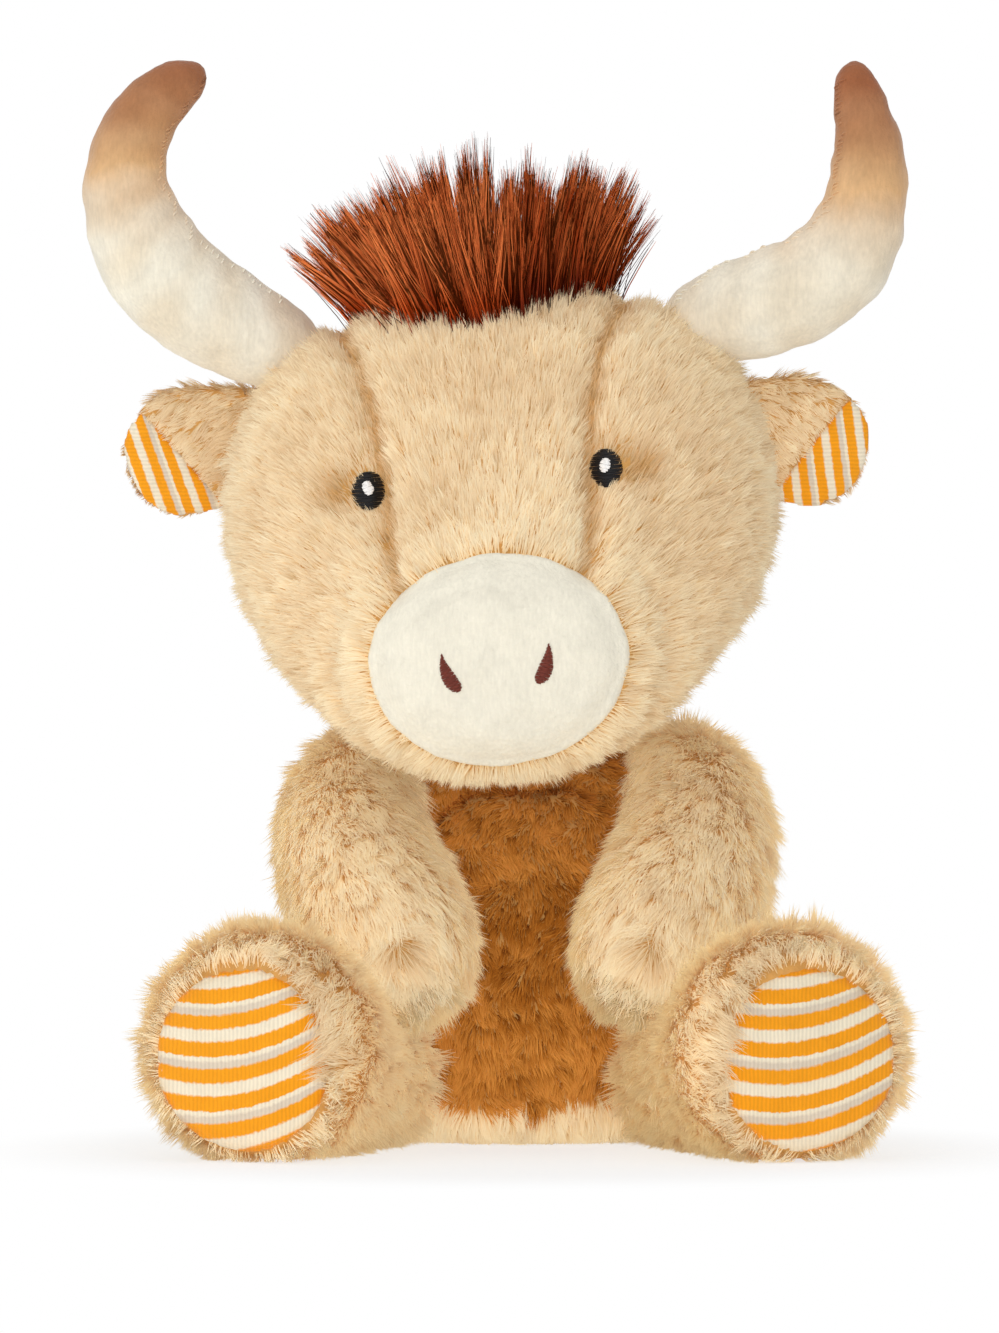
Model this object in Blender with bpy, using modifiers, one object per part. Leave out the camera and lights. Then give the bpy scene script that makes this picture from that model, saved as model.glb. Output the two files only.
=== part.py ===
"""A seated plush cow with stuffed horns, built the way it is sewn.

Cut panels of pile cloth close round fibre filling. The toy faces -Y, sits on Z = 0 with
its origin under the middle of the base panel, and its head is tilted to one side, as a
soft head settles on its neck.
"""

import math

import bmesh
import bpy
from mathutils import Matrix, Vector
from mathutils.bvhtree import BVHTree

MM = 0.001

# Cloth, gaps and cuts
SEAM_GAP = 0.3 * MM
PILE_CLOTH = 3.0 * MM
SHORT_CLOTH = 1.6 * MM
THREAD_HEIGHT = 1.1 * MM
FLOOR_FLAT = 0.5 * MM
OVERRUN = 12.0 * MM

# Torso
BODY_HEIGHT = 113.0 * MM
BODY_WIDTH = 132.0 * MM
BODY_DEPTH = 108.0 * MM
BODY_SET_BACK = 3.0 * MM
BODY_SECTION_SHARES = (
    (0.00, 0.30, 0.30),
    (0.00, 0.64, 0.64),
    (0.06, 0.86, 0.86),
    (0.23, 1.00, 1.00),
    (0.50, 0.96, 0.97),
    (0.73, 0.80, 0.84),
    (0.90, 0.58, 0.62),
    (0.98, 0.36, 0.38),
    (1.00, 0.14, 0.14),
)
BASE_PANEL_HEIGHT = 15.0 * MM
TUMMY_WIDTH = 80.0 * MM
TUMMY_HEIGHT = 84.0 * MM
TUMMY_OUTLINE_SHARES = ((0.66, 0.0), (0.93, 0.10), (1.0, 0.30), (0.88, 0.62), (0.62, 0.90), (0.36, 1.0))
PELLET_BAG_WIDTH = 76.0 * MM
PELLET_BAG_HEIGHT = 20.0 * MM
PELLET_BAG_SHARES = ((-1.0, 0.55), (-0.55, 0.95), (0.55, 0.95), (1.0, 0.55))

# Neck: a firm ball of filling that the head turns and nods on
NECK_BALL_RADIUS = 26.0 * MM
NECK_SINK = 2.5 * MM
NECK_RUNNING_GAP = 0.7 * MM

# Head, measured up and forward from the neck's centre
HEAD_TILT_DEG = 5.5
HEAD_TURN_DEG = 3.5
HEAD_WIDTH = 150.0 * MM
HEAD_HEIGHT = 119.0 * MM
HEAD_LENGTH = 146.0 * MM
HEAD_FORWARD = 88.0 * MM
HEAD_LIFT = 67.0 * MM
HEAD_SECTION_SHARES = (
    (0.00, 0.27, 0.26, 0.343),
    (0.02, 0.46, 0.44, 0.343),
    (0.095, 0.55, 0.54, 0.355),
    (0.17, 0.65, 0.68, 0.46),
    (0.26, 0.82, 0.87, 0.71),
    (0.43, 0.98, 0.985, 0.955),
    (0.67, 1.00, 1.00, 1.00),
    (0.88, 0.80, 0.80, 1.00),
    (0.98, 0.44, 0.44, 1.00),
    (1.00, 0.17, 0.17, 1.00),
)
GUSSET_HALF_WIDTH = 29.0 * MM
GUSSET_SHARES = (
    (0.62, 0.30),
    (0.90, 0.72),
    (0.95, 1.08),
    (1.00, 1.33),
    (1.14, 1.56),
    (1.34, 1.74),
    (1.60, 2.60),
)

# Muzzle and the threads sewn on it
MUZZLE_WIDTH = 67.0 * MM
MUZZLE_HEIGHT = 54.5 * MM
MUZZLE_LIFT = 23.0 * MM
MUZZLE_WRAP = 20.0 * MM
NOSTRIL_SPREAD = 13.0 * MM
NOSTRIL_DROP = 2.0 * MM
NOSTRIL_HEIGHT = 10.4 * MM
NOSTRIL_WIDTH = 5.4 * MM
NOSTRIL_LEAN_DEG = 24.0

# Eyes
EYE_SPREAD = 32.3 * MM
EYE_LIFT = 71.6 * MM
EYE_WIDTH = 10.0 * MM
EYE_HEIGHT = 11.0 * MM
GLINT_WIDTH = 2.4 * MM
GLINT_HEIGHT = 3.4 * MM
GLINT_RISE = 0.8 * MM

# Horns: rows of reach, rise and thickness shares from the root to the tip
HORN_ROOT_SPREAD = 60.0 * MM
HORN_ROOT_LIFT = 110.0 * MM
HORN_REACH = 50.0 * MM
HORN_RISE = 80.0 * MM
HORN_THICKNESS = 36.0 * MM
HORN_SWEEP = 6.0 * MM
HORN_SHARES = {
    "left": (
        (-0.26, -0.04, 0.62),
        (0.02, 0.075, 0.74),
        (0.34, 0.195, 0.88),
        (0.63, 0.39, 0.90),
        (0.745, 0.66, 0.68),
        (0.62, 0.88, 0.58),
        (0.34, 1.005, 0.44),
        (0.17, 1.01, 0.19),
    ),
    "right": (
        (-0.22, -0.06, 0.60),
        (0.08, 0.01, 0.74),
        (0.48, 0.035, 0.87),
        (0.86, 0.15, 0.83),
        (1.00, 0.38, 0.64),
        (1.01, 0.62, 0.49),
        (0.945, 0.79, 0.33),
        (0.92, 0.83, 0.16),
    ),
}

# Ears
EAR_ROOT_SPREAD = 66.0 * MM
EAR_ROOT_LIFT = {"left": 92.0 * MM, "right": 81.0 * MM}
EAR_SET_BACK = 4.0 * MM
EAR_LENGTH = 38.0 * MM
EAR_WIDTH = 38.0 * MM
EAR_THICKNESS = 9.0 * MM
EAR_DROOP_DEG = {"left": 14.0, "right": 22.0}
EAR_ROOT_DEPTH = 12.0 * MM
EAR_SECTION_SHARES = (
    (0.00, 0.42, 0.9),
    (0.26, 0.62, 1.0),
    (0.48, 0.94, 1.0),
    (0.72, 0.98, 0.9),
    (0.90, 0.74, 0.7),
    (1.00, 0.34, 0.4),
)
EAR_HINGE_OUT = 5.0 * MM
EAR_STOPS_DEG = (-8.0, 0.0, 12.0, 25.0)
EAR_LINING_OFFSET = 3.0 * MM
EAR_LINING_SLANT_DEG = 22.0

# Hair tuft: rows and columns of tapered strands on a curved backing
TUFT_HALF_WIDTH = 37.0 * MM
TUFT_HALF_DEPTH = 21.0 * MM
TUFT_FORWARD = 16.0 * MM
TUFT_ROUNDING_SHARE = 0.95
TUFT_BACKING = 1.6 * MM
TUFT_COLUMNS = 25
TUFT_ROWS = 12
STRAND_LENGTH = 33.0 * MM
STRAND_LENGTH_SHARES = (0.88, 1.04, 0.95, 1.10, 0.91, 1.06, 0.98)
STRAND_EDGE_SHARE = 0.25
TUFT_FAN_SHARE = 0.38
TUFT_LEAN_SHARE = 0.26

# Arms: rows of spread, reach, drop and thickness shares from the root to the paw
SHOULDER_SPREAD = 48.0 * MM
SHOULDER_HEIGHT = 97.0 * MM
SHOULDER_FORWARD = 8.0 * MM
ARM_REACH = 70.0 * MM
ARM_DROP = 54.0 * MM
ARM_THICKNESS = 43.0 * MM
ARM_SHARES = (
    (0.66, -0.22, -0.06, 0.55),
    (0.93, 0.00, 0.00, 0.88),
    (1.00, 0.25, 0.21, 0.92),
    (0.92, 0.55, 0.45, 0.98),
    (0.77, 0.81, 0.72, 1.02),
    (0.64, 0.97, 0.90, 0.86),
    (0.60, 1.04, 0.98, 0.42),
)
ARM_LIFT_DEG = 22.0
ARM_OVER_LEG_DEG = (0.0, 6.0)
ARM_AXIS = Vector((-0.86, -0.10, 0.50))

# Legs: rows of spread, reach, lift and thickness shares from the hip to the sole
HIP_SPREAD = 36.0 * MM
HIP_FORWARD = 12.0 * MM
LEG_SPREAD = 39.0 * MM
LEG_REACH = 102.0 * MM
FOOT_THICKNESS = 67.0 * MM
LEG_SHARES = (
    (0.00, 0.00, 0.33, 0.52),
    (0.16, 0.17, 0.33, 0.64),
    (0.38, 0.40, 0.33, 0.65),
    (0.62, 0.64, 0.38, 0.75),
    (0.84, 0.85, 0.46, 0.97),
    (0.97, 0.97, 0.48, 0.92),
    (1.00, 1.00, 0.48, 0.60),
)
LEG_SPLAY_DEG = 24.0
PAD_WIDTH = 47.0 * MM
PAD_HEIGHT = 49.0 * MM
PAD_DROP = 4.0 * MM

# Tail
TAIL_ROOT_HEIGHT = 58.0 * MM
TAIL_LENGTH = 52.0 * MM
TAIL_THICKNESS = 11.0 * MM
TAIL_LIFT_DEG = 40.0
TAIL_TUFT_LENGTH = 26.0 * MM
TAIL_TUFT_THICKNESS = 18.0 * MM
TAIL_SHARES = ((-0.25, 0.06), (0.08, 0.02), (0.27, -0.12), (0.36, -0.34), (0.39, -0.58))
TAIL_TUFT_SHARES = ((0.0, 0.5), (0.25, 0.95), (0.6, 1.0), (0.9, 0.5), (1.0, 0.2))

# Subdivision: the smoothing pulls a cage's corners in, so a cage is drawn larger
BODY_SIDES = 12
LIMB_SIDES = 7
LINER_SIDES = 8
LIMB_LINER_SIDES = 5
FULL_SECTION = 2.35
ROUND_SECTION = 2.0
BALL_SEGMENTS = 20

COLOURS = {
    "tan_pile": (0.76, 0.53, 0.29),
    "brown_pile": (0.36, 0.17, 0.05),
    "cream_velboa": (0.86, 0.82, 0.70),
    "striped_velboa": (0.93, 0.45, 0.05),
    "rust_hair": (0.30, 0.07, 0.02),
    "black_thread": (0.01, 0.01, 0.012),
    "white_thread": (0.85, 0.85, 0.85),
    "brown_thread": (0.16, 0.04, 0.02),
    "fibre_filling": (0.90, 0.90, 0.90),
    "pellet_cloth": (0.70, 0.70, 0.68),
}
ROUGHNESS = 0.9
SIDES = (("left", -1), ("right", 1))


def start_collections():
    for item in list(bpy.data.objects):
        bpy.data.objects.remove(item)
    found = {}
    for name in ("plush_cow", "cutters"):
        found[name] = bpy.data.collections.new(name)
        bpy.context.scene.collection.children.link(found[name])
    return found


def make_material(name):
    material = bpy.data.materials.new(name)
    material.use_nodes = True
    shader = material.node_tree.nodes["Principled BSDF"]
    shader.inputs["Base Color"].default_value = (*COLOURS[name], 1)
    shader.inputs["Roughness"].default_value = ROUGHNESS
    shader.inputs["Metallic"].default_value = 0
    return material


COLLECTIONS = start_collections()
MATERIALS = {name: make_material(name) for name in COLOURS}


def put(name, mesh, material=None, parent=None):
    """Adds a mesh as a visible piece, or as a hidden cutter if it has no material."""
    piece = bpy.data.objects.new(name, mesh)
    if material is None:
        COLLECTIONS["cutters"].objects.link(piece)
        piece.hide_render = True
        piece.display_type = "WIRE"
    else:
        COLLECTIONS["plush_cow"].objects.link(piece)
        mesh.materials.clear()
        mesh.materials.append(MATERIALS[material])
    piece.parent = parent
    return piece


def smooth(piece, grow=0.0):
    """Rounds a cage and moves its surface out by grow."""
    rounding = piece.modifiers.new("rounding", "SUBSURF")
    rounding.levels = 1
    rounding.render_levels = 1
    if grow:
        offset = piece.modifiers.new("offset", "DISPLACE")
        offset.strength = grow
        offset.mid_level = 0
    facets = piece.modifiers.new("facets", "TRIANGULATE")
    facets.quad_method = "FIXED"
    piece.data.shade_smooth()
    return piece


def trim(piece, cutter, operation="DIFFERENCE"):
    step = piece.modifiers.new(cutter.name, "BOOLEAN")
    step.operation = operation
    step.solver = "EXACT"
    step.object = cutter


def trim_all(piece, cutters):
    for cutter in cutters:
        trim(piece, cutter)


def joint_empty(name, place, rotation=(0, 0, 0), parent=None):
    empty = bpy.data.objects.new(name, None)
    COLLECTIONS["plush_cow"].objects.link(empty)
    empty.location = place
    empty.rotation_euler = rotation
    empty.parent = parent
    return empty


def section(centre, across, rise, sides, fullness):
    """One ring of a cage, from its centre and two half axes."""
    corner = math.cos(math.tau / sides) ** (2 / fullness)
    larger = 6 / (4 + 2 * corner)
    ring = []
    for step in range(sides):
        turn = math.tau * step / sides
        side, up = math.cos(turn), math.sin(turn)
        side = math.copysign(abs(side) ** (2 / fullness), side)
        up = math.copysign(abs(up) ** (2 / fullness), up)
        ring.append(centre + across * side * larger + rise * up * larger)
    return ring


def loft(name, rings):
    """A closed cage of quads through the rings."""
    cage = bmesh.new()
    loops = [[cage.verts.new(point) for point in ring] for ring in rings]
    sides = len(loops[0])
    for lower, upper in zip(loops, loops[1:]):
        for step in range(sides):
            after = (step + 1) % sides
            cage.faces.new((lower[step], lower[after], upper[after], upper[step]))
    cage.faces.new(loops[0])
    cage.faces.new(loops[-1])
    bmesh.ops.recalc_face_normals(cage, faces=cage.faces)
    mesh = bpy.data.meshes.new(name)
    cage.to_mesh(mesh)
    cage.free()
    return mesh


def limb(name, points, thicknesses, sides, up, flatness=1.0):
    """A cage along a path, square to it at each point."""
    rings = []
    last = len(points) - 1
    for step, (point, thick) in enumerate(zip(points, thicknesses)):
        along = points[min(step + 1, last)] - points[max(step - 1, 0)]
        across = along.cross(up).normalized()
        rise = across.cross(along).normalized()
        rings.append(section(point, across * thick / 2, rise * thick / 2 * flatness, sides, ROUND_SECTION))
    return loft(name, rings)


def swung(source, name, pivot, axis, degrees, grow):
    """A hidden copy of a cutter, turned about a joint's axis."""
    twin = smooth(put(name, source.data, parent=source.parent), grow)
    turn = Matrix.Rotation(math.radians(degrees), 4, axis)
    twin.matrix_basis = Matrix.Translation(pivot) @ turn @ Matrix.Translation(-pivot)
    return twin


def swept(source, label, pivot, axis, stops, grow=SEAM_GAP):
    """The cutter as a swinging piece meets it, one copy for each stop of the swing."""
    return [
        swung(source, f"{label}_at_{abs(round(stop))}", pivot, axis, -stop, grow) for stop in stops
    ]


def box(name, low, high, parent=None):
    shape = bmesh.new()
    bmesh.ops.create_cube(shape, size=1)
    middle = (Vector(low) + Vector(high)) / 2
    bmesh.ops.scale(shape, vec=Vector(high) - Vector(low), verts=shape.verts)
    bmesh.ops.translate(shape, vec=middle, verts=shape.verts)
    mesh = bpy.data.meshes.new(name)
    shape.to_mesh(mesh)
    shape.free()
    return put(name, mesh, parent=parent)


def outline_solid(name, outline, near, far, place, lean=0.0, parent=None):
    """An outline in X and Z, pushed along Y from near to far, as a mesh."""
    curve = bpy.data.curves.new(name, "CURVE")
    curve.dimensions = "2D"
    curve.fill_mode = "BOTH"
    curve.extrude = (far - near) / 2
    line = curve.splines.new("POLY")
    line.points.add(len(outline) - 1)
    for point, (across, up) in zip(line.points, outline):
        point.co = (across, up, 0, 1)
    line.use_cyclic_u = True
    drawn = bpy.data.objects.new(name, curve)
    COLLECTIONS["cutters"].objects.link(drawn)
    bpy.context.view_layer.update()
    mesh = bpy.data.meshes.new_from_object(drawn.evaluated_get(bpy.context.evaluated_depsgraph_get()))
    bpy.data.objects.remove(drawn)
    shape = bmesh.new()
    shape.from_mesh(mesh)
    bmesh.ops.remove_doubles(shape, verts=shape.verts, dist=SEAM_GAP / 100)
    stand = Matrix.Rotation(math.pi / 2, 4, "X")
    bmesh.ops.transform(shape, matrix=Matrix.Rotation(lean, 4, "Y") @ stand, verts=shape.verts)
    bmesh.ops.translate(shape, vec=Vector(place) + Vector((0, (near + far) / 2, 0)), verts=shape.verts)
    bmesh.ops.recalc_face_normals(shape, faces=shape.faces)
    shape.to_mesh(mesh)
    shape.free()
    return put(name, mesh, parent=parent)


def oval(width, height, points=24):
    turns = [math.tau * step / points for step in range(points)]
    return [(math.cos(turn) * width / 2, math.sin(turn) * height / 2) for turn in turns]


def teardrop(width, height, points=14):
    """A drop with its round end down and a tail that narrows upward."""
    found = []
    for step in range(points):
        turn = math.tau * step / points
        narrow = math.sin(turn / 2) ** 1.5
        found.append((math.sin(turn) * narrow * width / 2, math.cos(turn) * height / 2))
    return found


def body_cage(name, sides):
    rings = []
    for height, width, depth in BODY_SECTION_SHARES:
        centre = Vector((0, BODY_SET_BACK, height * (BODY_HEIGHT + FLOOR_FLAT) - FLOOR_FLAT))
        across = Vector((width * BODY_WIDTH / 2, 0, 0))
        deep = Vector((0, depth * BODY_DEPTH / 2, 0))
        rings.append(section(centre, across, deep, sides, ROUND_SECTION))
    return loft(name, rings)


def head_cage(name, sides):
    rings = []
    for length, width, height, lift in HEAD_SECTION_SHARES:
        centre = Vector((0, length * HEAD_LENGTH - HEAD_FORWARD, lift * HEAD_LIFT))
        across = Vector((width * HEAD_WIDTH / 2, 0, 0))
        rise = Vector((0, 0, height * HEAD_HEIGHT / 2))
        rings.append(section(centre, across, rise, sides, FULL_SECTION))
    return loft(name, rings)


NECK_PLACE = Vector((0, BODY_SET_BACK, BODY_HEIGHT - NECK_SINK))


def ball(name, radius, place, material=None):
    shape = bmesh.new()
    bmesh.ops.create_uvsphere(shape, u_segments=BALL_SEGMENTS, v_segments=BALL_SEGMENTS // 2, radius=radius)
    bmesh.ops.translate(shape, vec=place, verts=shape.verts)
    mesh = bpy.data.meshes.new(name)
    shape.to_mesh(mesh)
    shape.free()
    mesh.shade_smooth()
    return put(name, mesh, material)


def shell(name, cage, liner, material, parent=None):
    """A hollow cloth form: the rounded cage less its liner."""
    piece = smooth(put(name, cage.copy(), material, parent))
    trim(piece, liner)
    return piece


def make_torso(neck_hole, floor):
    cage = body_cage("body_form", BODY_SIDES)
    liner_cage = body_cage("body_liner", LINER_SIDES)
    liner = smooth(put("body_liner", liner_cage), -PILE_CLOTH)
    wide = BODY_WIDTH / 2 + OVERRUN
    low = -OVERRUN - FLOOR_FLAT
    front = -BODY_DEPTH / 2 - OVERRUN
    back = BODY_DEPTH / 2 + OVERRUN
    base_top = BASE_PANEL_HEIGHT
    under = box("base_cut", (-wide, front, low), (wide, back, base_top + SEAM_GAP))
    over = box("base_keep", (-wide, front, base_top), (wide, back, BODY_HEIGHT + OVERRUN))
    foot = Vector((0, 0, base_top + SEAM_GAP))

    def tummy_outline(grow):
        right = [
            (across * TUMMY_WIDTH / 2 + grow, up * (TUMMY_HEIGHT + grow))
            for across, up in TUMMY_OUTLINE_SHARES
        ]
        return right + [(-across, up) for across, up in reversed(right)]

    tummy_keep = outline_solid("tummy_keep", tummy_outline(0), front, 0, foot)
    tummy_cut = outline_solid(
        "tummy_cut", tummy_outline(SEAM_GAP), front, 0, foot - Vector((0, 0, SEAM_GAP))
    )
    skin = shell("body_skin", cage, liner, "tan_pile")
    trim_all(skin, (under, tummy_cut, neck_hole))
    tummy = shell("tummy_panel", cage, liner, "brown_pile")
    trim(tummy, tummy_keep, "INTERSECT")
    base = shell("base_panel", cage, liner, "tan_pile")
    trim_all(base, (over, floor))
    stuffing = smooth(put("body_stuffing", liner_cage.copy(), "fibre_filling"), -PILE_CLOTH - SEAM_GAP)
    trim_all(stuffing, (*make_pellet_bag(), neck_hole))
    return smooth(put("body_outside", cage), SEAM_GAP)


def make_pellet_bag():
    """The weighted bag and the room for it, open below so that the bag rests on the base panel."""
    middle = Vector((0, BODY_SET_BACK, PILE_CLOTH + 2 * SEAM_GAP + PELLET_BAG_HEIGHT / 2))
    half_width = PELLET_BAG_WIDTH / 2
    half_depth = half_width * BODY_DEPTH / BODY_WIDTH
    rings = []
    for up, wide in PELLET_BAG_SHARES:
        centre = middle + Vector((0, 0, up * PELLET_BAG_HEIGHT / 2))
        across = Vector((wide * half_width, 0, 0))
        rings.append(section(centre, across, Vector((0, wide * half_depth, 0)), LINER_SIDES, ROUND_SECTION))
    cage = loft("pellet_bag", rings)
    smooth(put("pellet_bag", cage, "pellet_cloth"))
    room = smooth(put("pellet_bag_room", cage), SEAM_GAP)
    slot = box(
        "pellet_bag_way_in",
        middle - Vector((half_width + SEAM_GAP, half_depth + SEAM_GAP, PELLET_BAG_HEIGHT + PILE_CLOTH)),
        middle + Vector((half_width + SEAM_GAP, half_depth + SEAM_GAP, 0)),
    )
    return room, slot


def make_head(neck_hole, rest):
    cage = head_cage("head_form", BODY_SIDES)
    liner_cage = head_cage("head_liner", LINER_SIDES)
    liner = smooth(put("head_liner", liner_cage, parent=rest), -PILE_CLOTH)
    front = -HEAD_FORWARD - OVERRUN
    back = HEAD_LENGTH - HEAD_FORWARD + OVERRUN
    reach = HEAD_WIDTH / 2 + OVERRUN
    top = HEAD_LIFT + HEAD_HEIGHT / 2 + OVERRUN
    bottom = -HEAD_HEIGHT / 2

    def gusset_outline(grow):
        right = [
            (across * GUSSET_HALF_WIDTH + grow, up * HEAD_LIFT) for across, up in GUSSET_SHARES
        ]
        right[0] = (right[0][0], right[0][1] - grow)
        return right + [(-across, up) for across, up in reversed(right)]

    def muzzle_outline(grow):
        return oval(MUZZLE_WIDTH + 2 * grow, MUZZLE_HEIGHT + 2 * grow)

    place = Vector((0, 0, MUZZLE_LIFT))
    at_zero = Vector((0, 0, 0))
    gusset_keep = outline_solid("gusset_keep", gusset_outline(0), front, back, at_zero, parent=rest)
    gusset_cut = outline_solid("gusset_cut", gusset_outline(SEAM_GAP), front, back, at_zero, parent=rest)
    depth = MUZZLE_WRAP - HEAD_FORWARD
    muzzle_keep = outline_solid("muzzle_keep", muzzle_outline(0), front, depth, place, parent=rest)
    muzzle_cut = outline_solid("muzzle_cut", muzzle_outline(SEAM_GAP), front, depth, place, parent=rest)
    for side, sign in SIDES:
        other = sorted((sign * SEAM_GAP / 2, -sign * reach))
        half = box(f"not_{side}", (other[0], front, bottom), (other[1], back, top), rest)
        panel = shell(f"head_side_{side}", cage, liner, "tan_pile", rest)
        trim_all(panel, (half, gusset_cut, muzzle_cut, neck_hole))
    gusset = shell("face_gusset", cage, liner, "tan_pile", rest)
    trim(gusset, gusset_keep, "INTERSECT")
    trim(gusset, muzzle_cut)
    muzzle = shell("muzzle_patch", cage, liner, "cream_velboa", rest)
    trim(muzzle, muzzle_keep, "INTERSECT")
    stuffing = put("head_stuffing", liner_cage.copy(), "fibre_filling", rest)
    smooth(stuffing, -PILE_CLOTH - SEAM_GAP)
    trim(stuffing, neck_hole)
    make_face(cage, rest, front)
    return smooth(put("head_outside", cage, parent=rest), SEAM_GAP)


def sewn_patch(name, cage, material, rest, cutter, under, height):
    """A patch of thread that follows the head, raised by height over what is under it."""
    patch = smooth(put(name, cage.copy(), material, rest), under + height)
    below = smooth(put(f"{name}_under", cage.copy(), parent=rest), under)
    trim(patch, cutter, "INTERSECT")
    trim(patch, below)


def make_face(cage, rest, front):
    glint_base = 2 * SEAM_GAP + THREAD_HEIGHT
    for side, sign in SIDES:
        place = Vector((sign * EYE_SPREAD, 0, EYE_LIFT))
        eye = oval(EYE_WIDTH, EYE_HEIGHT, 16)
        cutter = outline_solid(f"eye_{side}_cut", eye, front, 0, place, parent=rest)
        sewn_patch(f"eye_{side}", cage, "black_thread", rest, cutter, SEAM_GAP, THREAD_HEIGHT)
        place = place + Vector((0, 0, GLINT_RISE))
        glint = oval(GLINT_WIDTH, GLINT_HEIGHT, 10)
        cutter = outline_solid(f"glint_{side}_cut", glint, front, 0, place, parent=rest)
        raised = THREAD_HEIGHT / 2
        sewn_patch(f"eye_glint_{side}", cage, "white_thread", rest, cutter, glint_base, raised)
        place = Vector((sign * NOSTRIL_SPREAD, 0, MUZZLE_LIFT - NOSTRIL_DROP))
        cutter = outline_solid(
            f"nostril_{side}_cut",
            teardrop(NOSTRIL_WIDTH, NOSTRIL_HEIGHT),
            front,
            0,
            place,
            sign * math.radians(NOSTRIL_LEAN_DEG),
            rest,
        )
        sewn_patch(f"nostril_{side}", cage, "brown_thread", rest, cutter, SEAM_GAP, THREAD_HEIGHT)


def horn_cage(name, side, sign, sides):
    rows = HORN_SHARES[side]
    points = []
    for step, (reach, rise, _) in enumerate(rows):
        bow = math.sin(math.pi * step / (len(rows) - 1))
        points.append(
            Vector(
                (
                    sign * (HORN_ROOT_SPREAD + reach * HORN_REACH),
                    -bow * HORN_SWEEP,
                    HORN_ROOT_LIFT + rise * HORN_RISE,
                )
            )
        )
    thick = [share * HORN_THICKNESS for _, _, share in rows]
    return limb(name, points, thick, sides, Vector((0, 1, 0)))


def make_horns(head_outside, rest):
    for side, sign in SIDES:
        cage = horn_cage(f"horn_{side}", side, sign, LIMB_SIDES)
        liner = horn_cage(f"horn_{side}_room", side, sign, LIMB_LINER_SIDES)
        room = smooth(put(f"horn_{side}_room", liner, parent=rest), -SHORT_CLOTH)
        horn = shell(f"horn_{side}", cage, room, "cream_velboa", rest)
        trim(horn, head_outside)
        stuffing = put(f"horn_stuffing_{side}", liner.copy(), "fibre_filling", rest)
        smooth(stuffing, -SHORT_CLOTH - SEAM_GAP)
        trim(stuffing, head_outside)


def ear_frame(side, sign):
    """The middle of an ear's root, the way to its tip, and the way up its root."""
    droop = math.radians(EAR_DROOP_DEG[side])
    along = Vector((sign * math.cos(droop), 0, -math.sin(droop)))
    across = Vector((sign * math.sin(droop), 0, math.cos(droop)))
    root = Vector((sign * EAR_ROOT_SPREAD, EAR_SET_BACK, EAR_ROOT_LIFT[side]))
    return root, along, across


def make_ears(head_outside, rest):
    for side, sign in SIDES:
        root, along, across = ear_frame(side, sign)
        hinge = root + along * EAR_HINGE_OUT
        empty = joint_empty(f"ear_root_{side}", hinge, parent=rest)
        cutters = swept(head_outside, f"head_for_ear_{side}", hinge, -sign * across, EAR_STOPS_DEG)
        start = root - along * EAR_ROOT_DEPTH
        rings = []
        for length, width, thick in EAR_SECTION_SHARES:
            centre = start + along * length * (EAR_LENGTH + EAR_ROOT_DEPTH)
            half_thick = Vector((0, thick * EAR_THICKNESS / 2, 0))
            half_wide = across * width * EAR_WIDTH / 2
            rings.append(section(centre, half_wide, half_thick, LIMB_SIDES, ROUND_SECTION))
        cage = loft(f"ear_{side}", rings)
        slant = math.radians(EAR_LINING_SLANT_DEG)
        outward = along * math.cos(slant) - across * math.sin(slant)
        middle = root + along * EAR_LENGTH / 2
        turn = outward.to_track_quat("X", "Y").to_matrix().to_4x4()
        cloths = ((f"ear_back_{side}", "tan_pile", 1), (f"ear_lining_{side}", "striped_velboa", -1))
        for name, material, keep in cloths:
            gap = -keep * SEAM_GAP / 2
            half = (EAR_LENGTH + EAR_WIDTH) / 2
            centre = middle + outward * (EAR_LINING_OFFSET + gap + half)
            centre = centre - Vector((0, half + gap, 0))
            cutter = box(f"{name}_split", (-half,) * 3, (half,) * 3, rest)
            cutter.matrix_local = Matrix.Translation(centre) @ turn
            piece = smooth(put(name, cage.copy(), material, rest))
            trim_all(piece, cutters)
            trim(piece, cutter, "DIFFERENCE" if keep > 0 else "INTERSECT")
            keep_place(piece, empty)


def leg_points(sign):
    points = []
    for spread, reach, lift, _ in LEG_SHARES:
        points.append(
            Vector(
                (
                    sign * (HIP_SPREAD + spread * LEG_SPREAD),
                    -HIP_FORWARD - reach * LEG_REACH,
                    lift * FOOT_THICKNESS - FLOOR_FLAT,
                )
            )
        )
    return points


def keep_place(piece, empty):
    """Hangs a piece on an empty and leaves it where it is."""
    bpy.context.view_layer.update()
    place = piece.matrix_world.copy()
    piece.parent = empty
    piece.matrix_world = place


def make_limb(kind, side, points, thicknesses, empty, cutters):
    """An arm's or a leg's skin and filling, cut by what it is sewn to, and the cutter for its room."""
    up = Vector((0, 0, 1))
    cage = limb(f"{kind}_skin_{side}", points, thicknesses, LIMB_SIDES, up)
    liner = limb(f"{kind}_{side}_room", points, thicknesses, LIMB_LINER_SIDES, up)
    room = smooth(put(f"{kind}_{side}_room", liner), -PILE_CLOTH)
    skin = shell(f"{kind}_skin_{side}", cage, room, "tan_pile")
    stuffing = smooth(put(f"{kind}_stuffing_{side}", liner.copy(), "fibre_filling"), -PILE_CLOTH - SEAM_GAP)
    trim_all(skin, cutters)
    trim_all(stuffing, cutters)
    keep_place(skin, empty)
    keep_place(stuffing, empty)
    return skin, room, stuffing


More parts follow.
